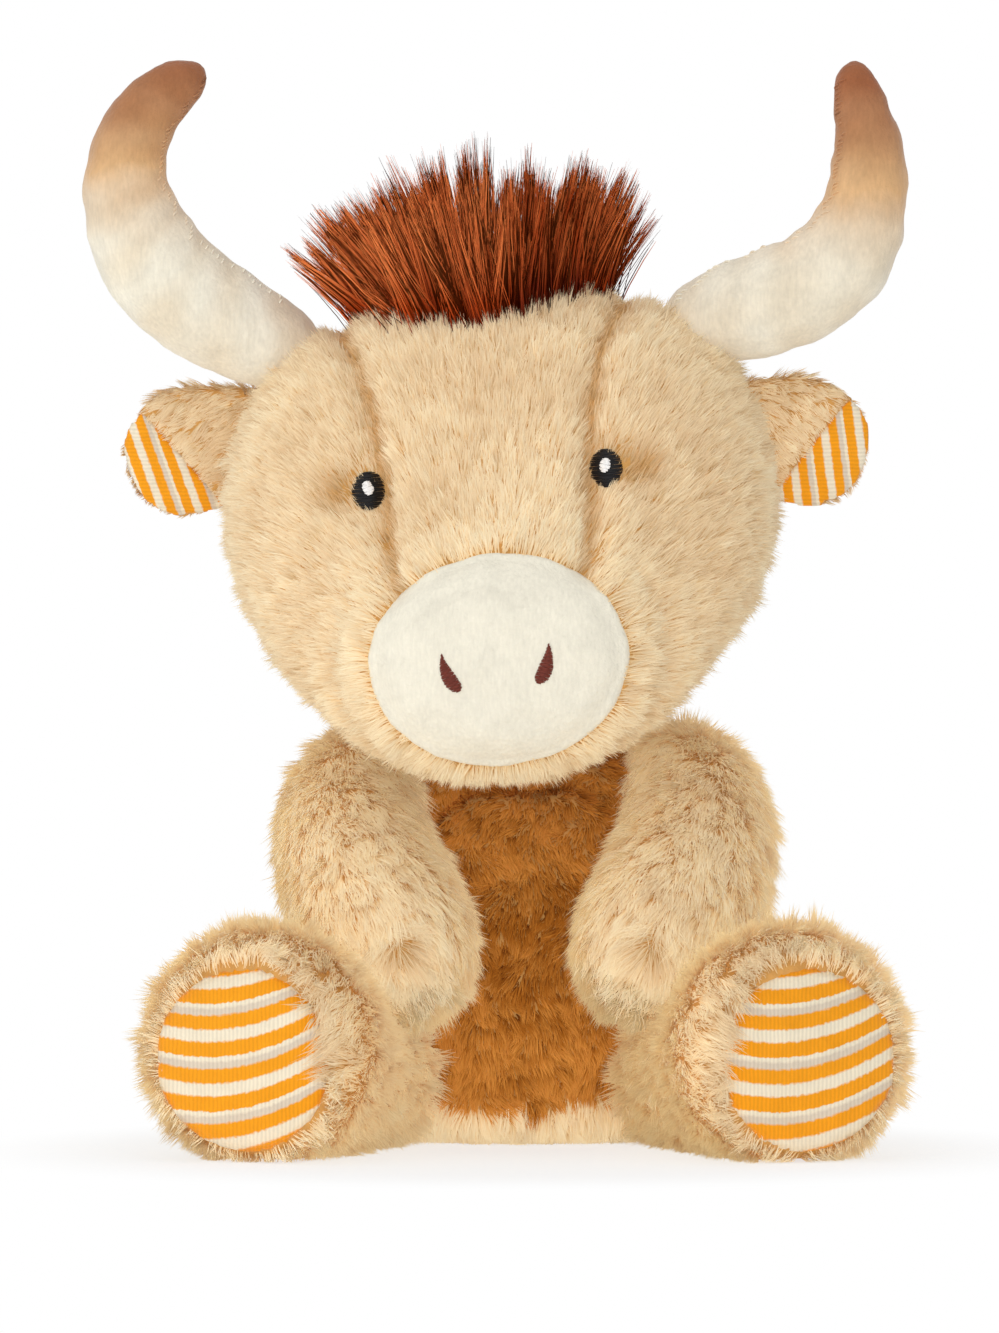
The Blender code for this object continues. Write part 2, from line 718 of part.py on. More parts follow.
def make_legs(body_outside, floor):
    """Both legs. Returns their forms, which the arms rest on."""
    axis = Vector((0, 0, 1))
    forms = {}
    for side, sign in SIDES:
        points = leg_points(sign)
        hip = points[1]
        stops = [LEG_SPLAY_DEG * share * sign for share in (0, 0.5, 1)]
        cutters = swept(body_outside, f"body_for_leg_{side}", hip, axis, stops)
        empty = joint_empty(f"hip_{side}", hip)
        thicknesses = [row[3] * FOOT_THICKNESS for row in LEG_SHARES]
        skin, room, _ = make_limb("leg", side, points, thicknesses, empty, cutters)
        trim(skin, floor)
        make_foot_pad(side, skin, room, points, empty)
        forms[side] = put(f"leg_form_{side}", skin.data)
    return forms


def make_foot_pad(side, skin, room, points, empty):
    along = points[-1] - points[-3]
    along.z = 0
    turn = along.normalized().to_track_quat("-Y", "Z").to_matrix().to_4x4()
    place = Matrix.Translation(points[-1] - Vector((0, 0, PAD_DROP))) @ turn
    depth = FOOT_THICKNESS / 3
    keep = outline_solid(f"pad_{side}_keep", oval(PAD_WIDTH, PAD_HEIGHT), -depth, depth, (0, 0, 0))
    size = (PAD_WIDTH + 2 * SEAM_GAP, PAD_HEIGHT + 2 * SEAM_GAP)
    cut = outline_solid(f"pad_{side}_cut", oval(*size), -depth, depth, (0, 0, 0))
    keep.matrix_world = place
    cut.matrix_world = place
    pad = smooth(put(f"foot_pad_{side}", skin.data.copy(), "striped_velboa"))
    trim(pad, room)
    trim(pad, keep, "INTERSECT")
    trim(skin, cut)
    keep_place(pad, empty)


def arm_axis(sign):
    return Vector((ARM_AXIS.x, ARM_AXIS.y * sign, ARM_AXIS.z * sign)).normalized()


def make_arms(body_outside, leg_forms):
    for side, sign in SIDES:
        shoulder = Vector((sign * SHOULDER_SPREAD, -SHOULDER_FORWARD, SHOULDER_HEIGHT))
        points = []
        for spread, reach, drop, _ in ARM_SHARES:
            step = Vector((0, -reach * ARM_REACH, -drop * ARM_DROP))
            points.append(Vector((sign * spread * SHOULDER_SPREAD, shoulder.y, shoulder.z)) + step)
        stops = [ARM_LIFT_DEG * share for share in (0, 0.5, 1)]
        axis = arm_axis(sign)
        cutters = swept(body_outside, f"body_for_arm_{side}", shoulder, axis, stops)
        empty = joint_empty(f"shoulder_{side}", shoulder)
        thicknesses = [row[3] * ARM_THICKNESS for row in ARM_SHARES]
        pieces = make_limb("arm", side, points, thicknesses, empty, cutters)
        for piece, cloth in zip(pieces, (0, PILE_CLOTH, PILE_CLOTH + SEAM_GAP)):
            label = f"leg_under_{piece.name}"
            grow = SEAM_GAP + cloth
            trim_all(piece, swept(leg_forms[side], label, shoulder, axis, ARM_OVER_LEG_DEG, grow))


def make_tuft(head_outside, rest):
    """Rows of four-sided strands that fan out from a backing laid on the crown."""
    bpy.context.view_layer.update()
    crown = BVHTree.FromObject(head_outside, bpy.context.evaluated_depsgraph_get())
    above = HEAD_LIFT + HEAD_HEIGHT

    def on_crown(column, row):
        across = 2 * column / TUFT_COLUMNS - 1
        deep = 2 * row / TUFT_ROWS - 1
        rounding = math.sqrt(1 - TUFT_ROUNDING_SHARE * across * across)
        start = Vector((across * TUFT_HALF_WIDTH, -TUFT_FORWARD - deep * TUFT_HALF_DEPTH * rounding, above))
        return crown.ray_cast(start, Vector((0, 0, -1)))[:2]

    tuft = bmesh.new()
    low, high = {}, {}
    for column in range(TUFT_COLUMNS + 1):
        for row in range(TUFT_ROWS + 1):
            place, normal = on_crown(column, row)
            low[column, row] = tuft.verts.new(place + normal * SEAM_GAP)
            high[column, row] = tuft.verts.new(place + normal * (SEAM_GAP + TUFT_BACKING))
    for column in range(TUFT_COLUMNS):
        for row in range(TUFT_ROWS):
            cell = [(column, row), (column + 1, row), (column + 1, row + 1), (column, row + 1)]
            tuft.faces.new([low[corner] for corner in cell])
            middle = sum((high[corner].co for corner in cell), Vector()) / 4
            across = 2 * (column + 0.5) / TUFT_COLUMNS - 1
            deep = 2 * (row + 0.5) / TUFT_ROWS - 1
            direction = Vector((across * TUFT_FAN_SHARE, -deep * TUFT_LEAN_SHARE, 1)).normalized()
            share = STRAND_LENGTH_SHARES[(3 * column + 2 * row) % len(STRAND_LENGTH_SHARES)]
            share *= 1 - STRAND_EDGE_SHARE * across * across
            tip = tuft.verts.new(middle + direction * STRAND_LENGTH * share)
            for step in range(4):
                tuft.faces.new((high[cell[step]], high[cell[(step + 1) % 4]], tip))
    edge = [(column, 0) for column in range(TUFT_COLUMNS)]
    edge += [(TUFT_COLUMNS, row) for row in range(TUFT_ROWS)]
    edge += [(column, TUFT_ROWS) for column in range(TUFT_COLUMNS, 0, -1)]
    edge += [(0, row) for row in range(TUFT_ROWS, 0, -1)]
    for here, after in zip(edge, edge[1:] + edge[:1]):
        tuft.faces.new((low[here], low[after], high[after], high[here]))
    bmesh.ops.recalc_face_normals(tuft, faces=tuft.faces)
    mesh = bpy.data.meshes.new("hair_tuft")
    tuft.to_mesh(mesh)
    tuft.free()
    put("hair_tuft", mesh, "rust_hair", rest)


def make_tail(body_outside):
    root = Vector((0, BODY_SET_BACK + BODY_DEPTH / 2, TAIL_ROOT_HEIGHT))
    points = [root + Vector((0, out, up)) * TAIL_LENGTH for out, up in TAIL_SHARES]
    thick = [TAIL_THICKNESS] * (len(points) - 1) + [TAIL_THICKNESS * 0.6]
    across = Vector((1, 0, 0))
    empty = joint_empty("tail_root", root)
    tail = smooth(put("tail", limb("tail", points, thick, LIMB_LINER_SIDES, across), "tan_pile"))
    stops = [TAIL_LIFT_DEG * share for share in (0, 0.5, 1)]
    trim_all(tail, swept(body_outside, "body_for_tail", root, across, stops))
    down = (points[-1] - points[-2]).normalized()
    start = points[-1] - down * TAIL_THICKNESS / 4
    places = [start + down * share * TAIL_TUFT_LENGTH for share, _ in TAIL_TUFT_SHARES]
    tuft_thick = [share * TAIL_TUFT_THICKNESS for _, share in TAIL_TUFT_SHARES]
    tuft_cage = limb("tail_tuft", places, tuft_thick, LIMB_LINER_SIDES, across)
    tuft = smooth(put("tail_tuft", tuft_cage, "rust_hair"))
    room = smooth(put("tail_room", tail.data.copy()), SEAM_GAP)
    trim(tuft, room)
    keep_place(tail, empty)
    keep_place(tuft, empty)


def build():
    neck_hole = ball("neck_hole", NECK_BALL_RADIUS + NECK_RUNNING_GAP, NECK_PLACE)
    ball("neck_stuffing", NECK_BALL_RADIUS, NECK_PLACE, "fibre_filling")
    far = BODY_WIDTH + LEG_SPREAD
    floor = box("floor_cut", (-far, -far, -OVERRUN), (far, far, 0))
    turn = (0, -math.radians(HEAD_TILT_DEG), -math.radians(HEAD_TURN_DEG))
    rest = joint_empty("head_rest", NECK_PLACE, turn)
    body_outside = make_torso(neck_hole, floor)
    head_outside = make_head(neck_hole, rest)
    make_horns(head_outside, rest)
    make_ears(head_outside, rest)
    make_tuft(head_outside, rest)
    make_arms(body_outside, make_legs(body_outside, floor))
    make_tail(body_outside)


build()
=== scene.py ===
"""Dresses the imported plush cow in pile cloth, hair and stitching, and sets up its studio.

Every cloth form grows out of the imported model's own solids, so it stays where they are.
"""

import math

import bmesh
import bpy
import numpy as np
from bpy.props import FloatProperty, FloatVectorProperty, IntProperty, PointerProperty
from mathutils import Euler, Matrix, Vector, kdtree
from mathutils.bvhtree import BVHTree


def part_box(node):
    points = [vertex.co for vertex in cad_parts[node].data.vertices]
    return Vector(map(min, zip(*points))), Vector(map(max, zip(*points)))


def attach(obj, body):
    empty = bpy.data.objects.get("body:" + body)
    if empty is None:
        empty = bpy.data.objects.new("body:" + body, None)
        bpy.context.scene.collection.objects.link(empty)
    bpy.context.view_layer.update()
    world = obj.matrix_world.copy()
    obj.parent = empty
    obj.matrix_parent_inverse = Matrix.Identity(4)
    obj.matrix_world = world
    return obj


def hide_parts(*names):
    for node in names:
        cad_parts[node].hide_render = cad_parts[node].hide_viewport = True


bl_info = {
    "name": "Plush Cow Dressing",
    "version": (1, 0, 0),
    "blender": (4, 5, 0),
    "location": "3D View > Sidebar > Plush",
    "description": "Pile cloth, hair, stitching and studio for the packed plush cow",
    "category": "Add Mesh",
}

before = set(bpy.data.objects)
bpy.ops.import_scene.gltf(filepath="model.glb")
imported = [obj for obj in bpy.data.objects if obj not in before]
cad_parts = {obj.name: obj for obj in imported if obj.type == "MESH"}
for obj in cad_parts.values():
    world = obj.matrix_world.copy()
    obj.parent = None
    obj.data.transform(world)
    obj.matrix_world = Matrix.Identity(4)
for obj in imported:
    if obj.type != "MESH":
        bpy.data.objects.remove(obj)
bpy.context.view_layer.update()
MM = 0.001
SIDES = (("left", -1), ("right", 1))
LOWEST = 0.4 * MM  # The cloth's lowest points, just over the floor.


def linear(code):
    """An sRGB hex value as the linear colour that a shader takes."""
    channels = [int(code[start : start + 2], 16) / 255 for start in (1, 3, 5)]
    return tuple(c / 12.92 if c <= 0.04045 else ((c + 0.055) / 1.055) ** 2.4 for c in channels)


def size_prop(name, about, default, top):
    return FloatProperty(name=name, description=about, default=default, min=0, max=top, unit="LENGTH")


def colour_prop(name, about, code):
    return FloatVectorProperty(
        name=name, description=about, default=linear(code), subtype="COLOR", size=3, min=0, max=1
    )


class PlushSizes(bpy.types.PropertyGroup):
    """Sizes of the pile, the hair and the stitches. Real pile is about 0.03 mm thick and stands
    thousands to a square centimetre, and is drawn ten times as coarse so that it shows."""

    pile_length: size_prop("Body pile", "Length of the tan pile on the body and limbs", 8.5 * MM, 0.03)
    face_pile_length: size_prop("Face pile", "Length of the tan pile on the head", 6.0 * MM, 0.03)
    tummy_pile_length: size_prop("Tummy pile", "Length of the brown pile", 5.5 * MM, 0.03)
    strand_width: size_prop("Strand width", "Width of a strand of pile at its root", 0.31 * MM, 0.002)
    clump_width: size_prop("Tuft width", "Distance between the tufts that pile falls into", 3.4 * MM, 0.02)
    strands_per_cm2: IntProperty(
        name="Pile density",
        description="Strands on a square centimetre of cloth",
        default=340,
        min=10,
        max=900,
    )
    seam_depth: size_prop("Seam depth", "How far a seam pulls the cloth in", 2.4 * MM, 0.01)
    hair_length: size_prop("Hair length", "Length of the hair tuft's locks", 38.0 * MM, 0.1)
    stripe_pitch: size_prop("Stripe pitch", "Distance from one orange stripe to the next", 7.0 * MM, 0.05)
    thread_width: size_prop("Thread width", "Width of an embroidery thread", 0.42 * MM, 0.002)


class PlushColours(bpy.types.PropertyGroup):
    """Colours of the cloths, the hair and the threads. The roots are painted darker, as painted shade deep in
    the pile.
    """

    tan_root: colour_prop("Tan root", "Tan pile at its root", "#EAB064")
    tan_middle: colour_prop("Tan middle", "Tan pile halfway up", "#FBD799")
    tan_tip: colour_prop("Tan tip", "Tan pile at its sheared tip", "#FFF2D2")
    brown_root: colour_prop("Brown root", "Brown pile at its root", "#6B3204")
    brown_middle: colour_prop("Brown middle", "Brown pile halfway up", "#BC701C")
    brown_tip: colour_prop("Brown tip", "Brown pile at its tip", "#EBA650")
    cream: colour_prop("Cream", "Cream short-pile cloth", "#EEE8D6")
    horn_amber: colour_prop("Horn amber", "Where the sprayed colour on a horn fades out", "#DDB383")
    horn_brown: colour_prop("Horn brown", "Sprayed colour at a horn's tip", "#9C5F3C")
    orange: colour_prop("Orange stripe", "Orange stripe of the printed cloth", "#F59F12")
    greige: colour_prop("Grey-beige stripe", "Grey-beige stripe of the printed cloth", "#DCCDB8")
    hair_root: colour_prop("Hair root", "Hair at its root", "#500F02")
    hair_middle: colour_prop("Hair middle", "Hair halfway up", "#C44A10")
    hair_tip: colour_prop("Hair tip", "Hair at its tip", "#F0894A")
    eye_thread: colour_prop("Eye thread", "Black embroidery thread", "#0D0C0F")
    glint_thread: colour_prop("Glint thread", "White embroidery thread", "#F6F4F2")
    nostril_thread: colour_prop("Nostril thread", "Brown embroidery thread", "#6E2F22")


def sizes():
    return bpy.context.scene.plush_sizes


def colours():
    return bpy.context.scene.plush_colours


# Small tools


def add(tree, kind, inputs=None, stops=None, **settings):
    """Adds a node with its settings, its socket values or links, and a ramp's stops."""
    made = tree.nodes.new(kind)
    for name, value in settings.items():
        setattr(made, name, value)
    for socket, value in (inputs or {}).items():
        if isinstance(value, bpy.types.NodeSocket):
            tree.links.new(value, made.inputs[socket])
        else:
            made.inputs[socket].default_value = value
    if stops:
        points = made.color_ramp.elements
        while len(points) < len(stops):
            points.new(0.5)
        for point, (place, colour) in zip(points, stops):
            point.position = place
            point.color = (*colour, 1)
    return made


def new_finish(name, rough, sheen, specular=0.25):
    """A cloth or thread material with its constants on the shader, ready for its colour and bump."""
    finish = bpy.data.materials.new(name)
    finish.use_nodes = True
    tree = finish.node_tree
    tree.nodes.clear()
    shader = add(tree, "ShaderNodeBsdfPrincipled")
    for socket, value in (
        ("Roughness", rough),
        ("Metallic", 0),
        ("IOR", 1.5),
        ("Specular IOR Level", specular),
        ("Sheen Weight", sheen),
        ("Sheen Roughness", 0.4),
    ):
        shader.inputs[socket].default_value = value
    add(tree, "ShaderNodeOutputMaterial", {"Surface": shader.outputs["BSDF"]})
    return finish, tree, shader


def finish_once(name, maker):
    """The material of that name, made the first time that a piece asks for it."""
    return bpy.data.materials.get(name) or maker(name)


def arrays(mesh):
    """A mesh's points, outward normals and triangles as arrays."""
    mesh.calc_loop_triangles()
    points = np.zeros(len(mesh.vertices) * 3)
    mesh.vertices.foreach_get("co", points)
    normals = np.zeros(len(mesh.vertices) * 3)
    mesh.vertices.foreach_get("normal", normals)
    faces = np.zeros(len(mesh.loop_triangles) * 3, np.int32)
    mesh.loop_triangles.foreach_get("vertices", faces)
    return points.reshape(-1, 3), normals.reshape(-1, 3), faces.reshape(-1, 3)


def unit(vectors):
    return vectors / np.maximum(np.linalg.norm(vectors, axis=-1, keepdims=True), 1e-12)


def dot(a, b):
    return (a * b).sum(-1, keepdims=True)


def ripple(points, size, seed):
    """Soft blotches of about that size, from -1 to 1, the same on every run."""
    rng = np.random.default_rng(seed)
    total = np.zeros(len(points))
    for _ in range(6):
        wave = rng.normal(size=3)
        wave *= math.tau / (size * rng.uniform(0.7, 1.8)) / np.linalg.norm(wave)
        total += np.sin(points @ wave + rng.uniform(0, math.tau))
    return total / 3


def bump(centre, points, width):
    """One at the centre, falling to nothing over about that width."""
    return np.exp(-((np.linalg.norm(points - np.array(centre), axis=1) / width) ** 2))


def middle(node):
    low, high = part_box(node)
    return (low + high) / 2


def put(name, mesh, finish, body, replaced=()):
    """Links a finished mesh as a piece of the cow."""
    piece = bpy.data.objects.new(name, mesh)
    bpy.context.scene.collection.objects.link(piece)
    mesh.materials.clear()
    mesh.materials.append(finish)
    mesh.shade_smooth()
    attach(piece, body)
    if replaced:
        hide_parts(*replaced)
    return piece


def soup(name, points, faces):
    """A mesh of triangles from arrays."""
    mesh = bpy.data.meshes.new(name)
    mesh.vertices.add(len(points))
    mesh.vertices.foreach_set("co", np.asarray(points, np.float32).ravel())
    mesh.loops.add(len(faces) * 3)
    mesh.loops.foreach_set("vertex_index", np.asarray(faces, np.int32).ravel())
    mesh.polygons.add(len(faces))
    mesh.polygons.foreach_set("loop_start", np.arange(len(faces), dtype=np.int32) * 3)
    mesh.update(calc_edges=True)
    mesh.shade_smooth()
    return mesh


def tube_faces(loops):
    """Triangles between the loops of point numbers along one thread."""
    faces = []
    for here, after in zip(loops, loops[1:]):
        for corner in range(len(here)):
            other = (corner + 1) % len(here)
            faces.append((here[corner], after[corner], after[other]))
            faces.append((here[corner], after[other], here[other]))
    return faces


def seen_tree(nodes):
    """A search tree of those nodes' surfaces."""
    points, faces = [], []
    for node in nodes:
        here, _, triangles = arrays(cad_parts[node].data)
        faces += [tuple(int(i) + len(points) for i in t) for t in triangles]
        points += [tuple(p) for p in here]
    return BVHTree.FromPolygons(points, faces)


def made_tree(name):
    """A search tree of a piece that is already made."""
    return BVHTree.FromObject(bpy.data.objects[name], bpy.context.evaluated_depsgraph_get())


def gap_to(points, nodes):
    """How far each point is from those nodes, and the way that leads off them."""
    tree = seen_tree(nodes)
    gaps, away = np.zeros(len(points)), np.zeros((len(points), 3))
    for step, point in enumerate(points):
        near, _, _, gap = tree.find_nearest(Vector(point))
        gaps[step] = gap
        away[step] = point - np.array(near)
    return gaps, unit(away)


def stuffed_form(name, nodes, cell, rounds, swell):
    """One closed, rounded cloth form from CAD pieces. They are merged in cells of that size,
    smoothed for so many rounds and swollen by the thickness that the cloth's nap adds."""
    gathered = bmesh.new()
    for node in nodes:
        gathered.from_mesh(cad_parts[node].data)
    rough = bpy.data.meshes.new(name)
    gathered.to_mesh(rough)
    gathered.free()
    holder = bpy.data.objects.new(name, rough)
    bpy.context.scene.collection.objects.link(holder)
    merge = holder.modifiers.new("merge", "REMESH")
    merge.mode = "VOXEL"
    merge.voxel_size = cell
    bpy.context.view_layer.update()
    merged = bpy.data.meshes.new_from_object(holder.evaluated_get(bpy.context.evaluated_depsgraph_get()))
    bpy.data.objects.remove(holder)
    shape = bmesh.new()
    shape.from_mesh(merged)
    keep_outside(shape)
    smooth(shape, rounds)
    shape.normal_update()
    for vert in shape.verts:
        vert.co += vert.normal * swell
        vert.co.z = max(vert.co.z, LOWEST)
    shape.to_mesh(merged)
    shape.free()
    merged.name = name
    return merged


def keep_outside(shape):
    """Drops what merging left inside a form: all but its largest shell."""
    left, shells = set(shape.verts), []
    while left:
        start = left.pop()
        shell, edge = {start}, [start]
        while edge:
            here = edge.pop()
            for link in here.link_edges:
                there = link.other_vert(here)
                if there in left:
                    left.discard(there)
                    shell.add(there)
                    edge.append(there)
        shells.append(shell)
    largest = max(shells, key=len)
    inner = [vert for vert in shape.verts if vert not in largest]
    bmesh.ops.delete(shape, geom=inner, context="VERTS")


def smooth(shape, rounds):
    for _ in range(rounds):
        bmesh.ops.smooth_vert(
            shape, verts=shape.verts, factor=0.5, use_axis_x=True, use_axis_y=True, use_axis_z=True
        )


def move_points(mesh, points):
    mesh.vertices.foreach_set("co", np.asarray(points, np.float32).ravel())
    mesh.update()


# Cloths, hair and threads


def strand_colour(tree, painted_shade, light):
    """Colour from a strand's own map: across it from painted shade to the pile's own colour, and along it
    from root to tip.
    """
    where = add(tree, "ShaderNodeUVMap", uv_map="OFBake")
    split = add(tree, "ShaderNodeSeparateXYZ", {"Vector": where.outputs["UV"]})
    ramps = [
        add(
            tree,
            "ShaderNodeValToRGB",
            {"Fac": split.outputs["Y"]},
            stops=list(zip((0.0, 0.22, 0.55, 1.0), row)),
        )
        for row in (painted_shade, light)
    ]
    mixed = add(
        tree,
        "ShaderNodeMix",
        {0: split.outputs["X"], 6: ramps[0].outputs["Color"], 7: ramps[1].outputs["Color"]},
        data_type="RGBA",
    )
    return mixed.outputs[2]


def shade(colour, by):
    """A colour made darker, or lighter above one."""
    return tuple(min(1, max(0, channel * by)) for channel in colour)


def between(a, b, share):
    """A colour that far on the way from one to the other."""
    return tuple(x * (1 - share) + y * share for x, y in zip(a, b))


def tan_pile(name):
    """Tan long-pile plush: knitted polyester, brushed up and sheared to pale tips. Its roots are painted
    darker and warmer, as painted shade deep in the pile. The pile scatters light softly, with next to no
    gloss."""
    finish, tree, shader = new_finish(name, rough=0.8, sheen=0.05)
    look = colours()
    root, mid, tip = look.tan_root, look.tan_middle, look.tan_tip
    # Painted shade: darker copies of the root colour, for partings, seams, creases and hollows.
    painted_shade = (shade(root, 0.36), shade(root, 0.5), shade(root, 0.68), shade(root, 0.95))
    light = (between(root, mid, 0.8), between(mid, tip, 0.3), between(mid, tip, 0.8), shade(tip, 1.02))
    tree.links.new(strand_colour(tree, painted_shade, light), shader.inputs["Base Color"])
    return finish


def brown_pile(name):
    """Brown curled pile: shorter, heat-crimped polyester in small bright curls. Its roots are painted dark,
    as painted shade under the curls."""
    finish, tree, shader = new_finish(name, rough=0.8, sheen=0.0, specular=0.1)
    look = colours()
    root, mid, tip = look.brown_root, look.brown_middle, look.brown_tip
    # Painted shade: darker copies of the brown, for the middle of the tummy.
    painted_shade = (shade(root, 0.7), root, between(root, mid, 0.6), between(mid, tip, 0.1))
    light = (between(root, mid, 0.7), mid, between(mid, tip, 0.6), tip)
    tree.links.new(strand_colour(tree, painted_shade, light), shader.inputs["Base Color"])
    return finish


def rust_hair(name):
    """Straight synthetic hair: smooth drawn fibre, so each lock has a soft gleam along it. Its roots are
    painted dark, as painted shadow among the locks."""
    finish, tree, shader = new_finish(name, rough=0.55, sheen=0.0, specular=0.08)
    look = colours()
    root, mid, tip = look.hair_root, look.hair_middle, look.hair_tip
    # Painted shadow, for the darker locks and the gaps between them.
    painted_shade = (shade(root, 0.6), shade(root, 1.1), between(root, mid, 0.45), between(root, mid, 0.7))
    light = (root, mid, between(mid, tip, 0.7), shade(tip, 1.15))
    tree.links.new(strand_colour(tree, painted_shade, light), shader.inputs["Base Color"])
    return finish


def mottled(tree, base, share, size):
    """A colour with soft lighter and darker patches, as a brushed nap has."""
    place = add(tree, "ShaderNodeTexCoord")
    patches = add(
        tree, "ShaderNodeTexNoise", {"Vector": place.outputs["Object"], "Scale": 1 / size, "Detail": 3.0}
    )
    ramp = add(
        tree,
        "ShaderNodeValToRGB",
        {"Fac": patches.outputs["Fac"]},
        stops=[(0.3, shade(base, 1 - share)), (0.7, shade(base, 1 + share * 0.6))],
    )
    return ramp.outputs["Color"], place


def nap_bump(tree, shader, place, size, height):
    """The relief of a short nap: fibre ends about that size, in ridges too fine to count."""
    grain = add(
        tree, "ShaderNodeTexNoise", {"Vector": place.outputs["Object"], "Scale": 1 / size, "Detail": 4.0}
    )
    relief = add(
        tree,
        "ShaderNodeBump",
        {"Height": grain.outputs["Fac"], "Strength": 0.5, "Distance": height},
    )
    tree.links.new(relief.outputs["Normal"], shader.inputs["Normal"])


def pile_backing(name):
    """The knitted ground under the tan pile, coloured darker than the pile as painted shade. It shows only in
    partings and beside seams, as a darker tan line."""
    finish, tree, shader = new_finish(name, rough=0.95, sheen=0.1)
    # Painted shade: the backing is darker than the pile, so partings and seams read as shade.
    tone, place = mottled(tree, shade(colours().tan_root, 0.78), share=0.18, size=4 * MM)
    tree.links.new(tone, shader.inputs["Base Color"])
    nap_bump(tree, shader, place, size=0.8 * MM, height=0.4 * MM)
    return finish


def streaked(tree, colour, place, depth=1.0):
    """The brushed nap of a short pile: fine streaks, lighter and darker, down the cloth. Real
    ones are about 0.2 mm wide, and are drawn 0.9 mm wide so that they show."""
    turned = add(tree, "ShaderNodeMapping", {"Vector": place.outputs["Object"], "Scale": (1.0, 1.0, 0.28)})
    nap = add(
        tree,
        "ShaderNodeTexNoise",
        {"Vector": turned.outputs["Vector"], "Scale": 1 / (0.9 * MM), "Detail": 2.0},
    )
    level = add(
        tree,
        "ShaderNodeMapRange",
        {"Value": nap.outputs["Fac"], "To Min": 1 - 0.16 * depth, "To Max": 1 + 0.12 * depth},
    )
    mixed = add(
        tree,
        "ShaderNodeMix",
        {0: 1.0, 6: colour, 7: level.outputs["Result"]},
        data_type="RGBA",
        blend_type="MULTIPLY",
    )
    return mixed.outputs[2]


def cream_velboa(name):
    """Cream velboa: a 1.5 mm polyester pile, brushed one way, with a matt face and a faint
    bloom at its edges. Its nap lies in uneven patches where it has been handled."""
    finish, tree, shader = new_finish(name, rough=0.88, sheen=0.3)
    tone, place = mottled(tree, tuple(colours().cream), share=0.045, size=7 * MM)
    tree.links.new(streaked(tree, tone, place, depth=0.75), shader.inputs["Base Color"])
    nap_bump(tree, shader, place, size=1.2 * MM, height=1.0 * MM)
    return finish


def horn_velboa(name):
    """Cream velboa with brown dye sprayed on at the tips: it fades through amber, as the spray
    thins out over the pile."""
    finish, tree, shader = new_finish(name, rough=0.88, sheen=0.3)
    look = colours()
    place = add(tree, "ShaderNodeTexCoord")
    split = add(tree, "ShaderNodeSeparateXYZ", {"Vector": place.outputs["Object"]})
    drift = add(
        tree, "ShaderNodeTexNoise", {"Vector": place.outputs["Object"], "Scale": 1 / (16 * MM), "Detail": 4.0}
    )
    height = add(
        tree,
        "ShaderNodeMath",
        {0: split.outputs["X"], 1: 0.03, 2: split.outputs["Z"]},
        operation="MULTIPLY_ADD",
    )
    wander = add(
        tree,
        "ShaderNodeMath",
        {0: drift.outputs["Fac"], 1: 12 * MM, 2: height.outputs[0]},
        operation="MULTIPLY_ADD",
    )
    sprayed = add(
        tree,
        "ShaderNodeMapRange",
        {"Value": wander.outputs[0], "From Min": 240 * MM, "From Max": 304 * MM},
    )
    cream = tuple(look.cream)
    ramp = add(
        tree,
        "ShaderNodeValToRGB",
        {"Fac": sprayed.outputs["Result"]},
        stops=[
            (0.0, cream),
            (0.14, between(cream, look.horn_amber, 0.08)),
            (0.30, between(cream, look.horn_amber, 0.42)),
            (0.47, tuple(look.horn_amber)),
            (0.70, between(look.horn_amber, look.horn_brown, 0.62)),
            (0.95, tuple(look.horn_brown)),
        ],
    )
    patches = add(
        tree, "ShaderNodeTexNoise", {"Vector": place.outputs["Object"], "Scale": 1 / (6 * MM), "Detail": 4.0}
    )
    soft = add(tree, "ShaderNodeMapRange", {"Value": patches.outputs["Fac"], "To Min": 0.86, "To Max": 1.14})
    # Painted shade in the creases: where the cloth folds in, its colour is multiplied towards a warm tint.
    folds = add(tree, "ShaderNodeAttribute", attribute_name="fold_and_shade")
    crease_shade_share = add(tree, "ShaderNodeMath", {0: folds.outputs["Fac"], 1: 0.36}, operation="MULTIPLY")
    crease_shade_tint = between(cream, look.horn_amber, 0.5)
    crease_shaded = add(
        tree,
        "ShaderNodeMix",
        {0: crease_shade_share.outputs[0], 6: ramp.outputs["Color"], 7: (*crease_shade_tint, 1)},
        data_type="RGBA",
        blend_type="MULTIPLY",
    )
    toned = add(
        tree,
        "ShaderNodeMix",
        {0: 1.0, 6: crease_shaded.outputs[2], 7: soft.outputs["Result"]},
        data_type="RGBA",
        blend_type="MULTIPLY",
    )
    tree.links.new(streaked(tree, toned.outputs[2], place), shader.inputs["Base Color"])
    nap_bump(tree, shader, place, size=1.1 * MM, height=0.6 * MM)
    return finish


def horn_thread(name):
    """Polyester sewing thread in the horn's cream. It was sprayed with the cloth, so it takes the
    same brown."""
    return horn_velboa(name)


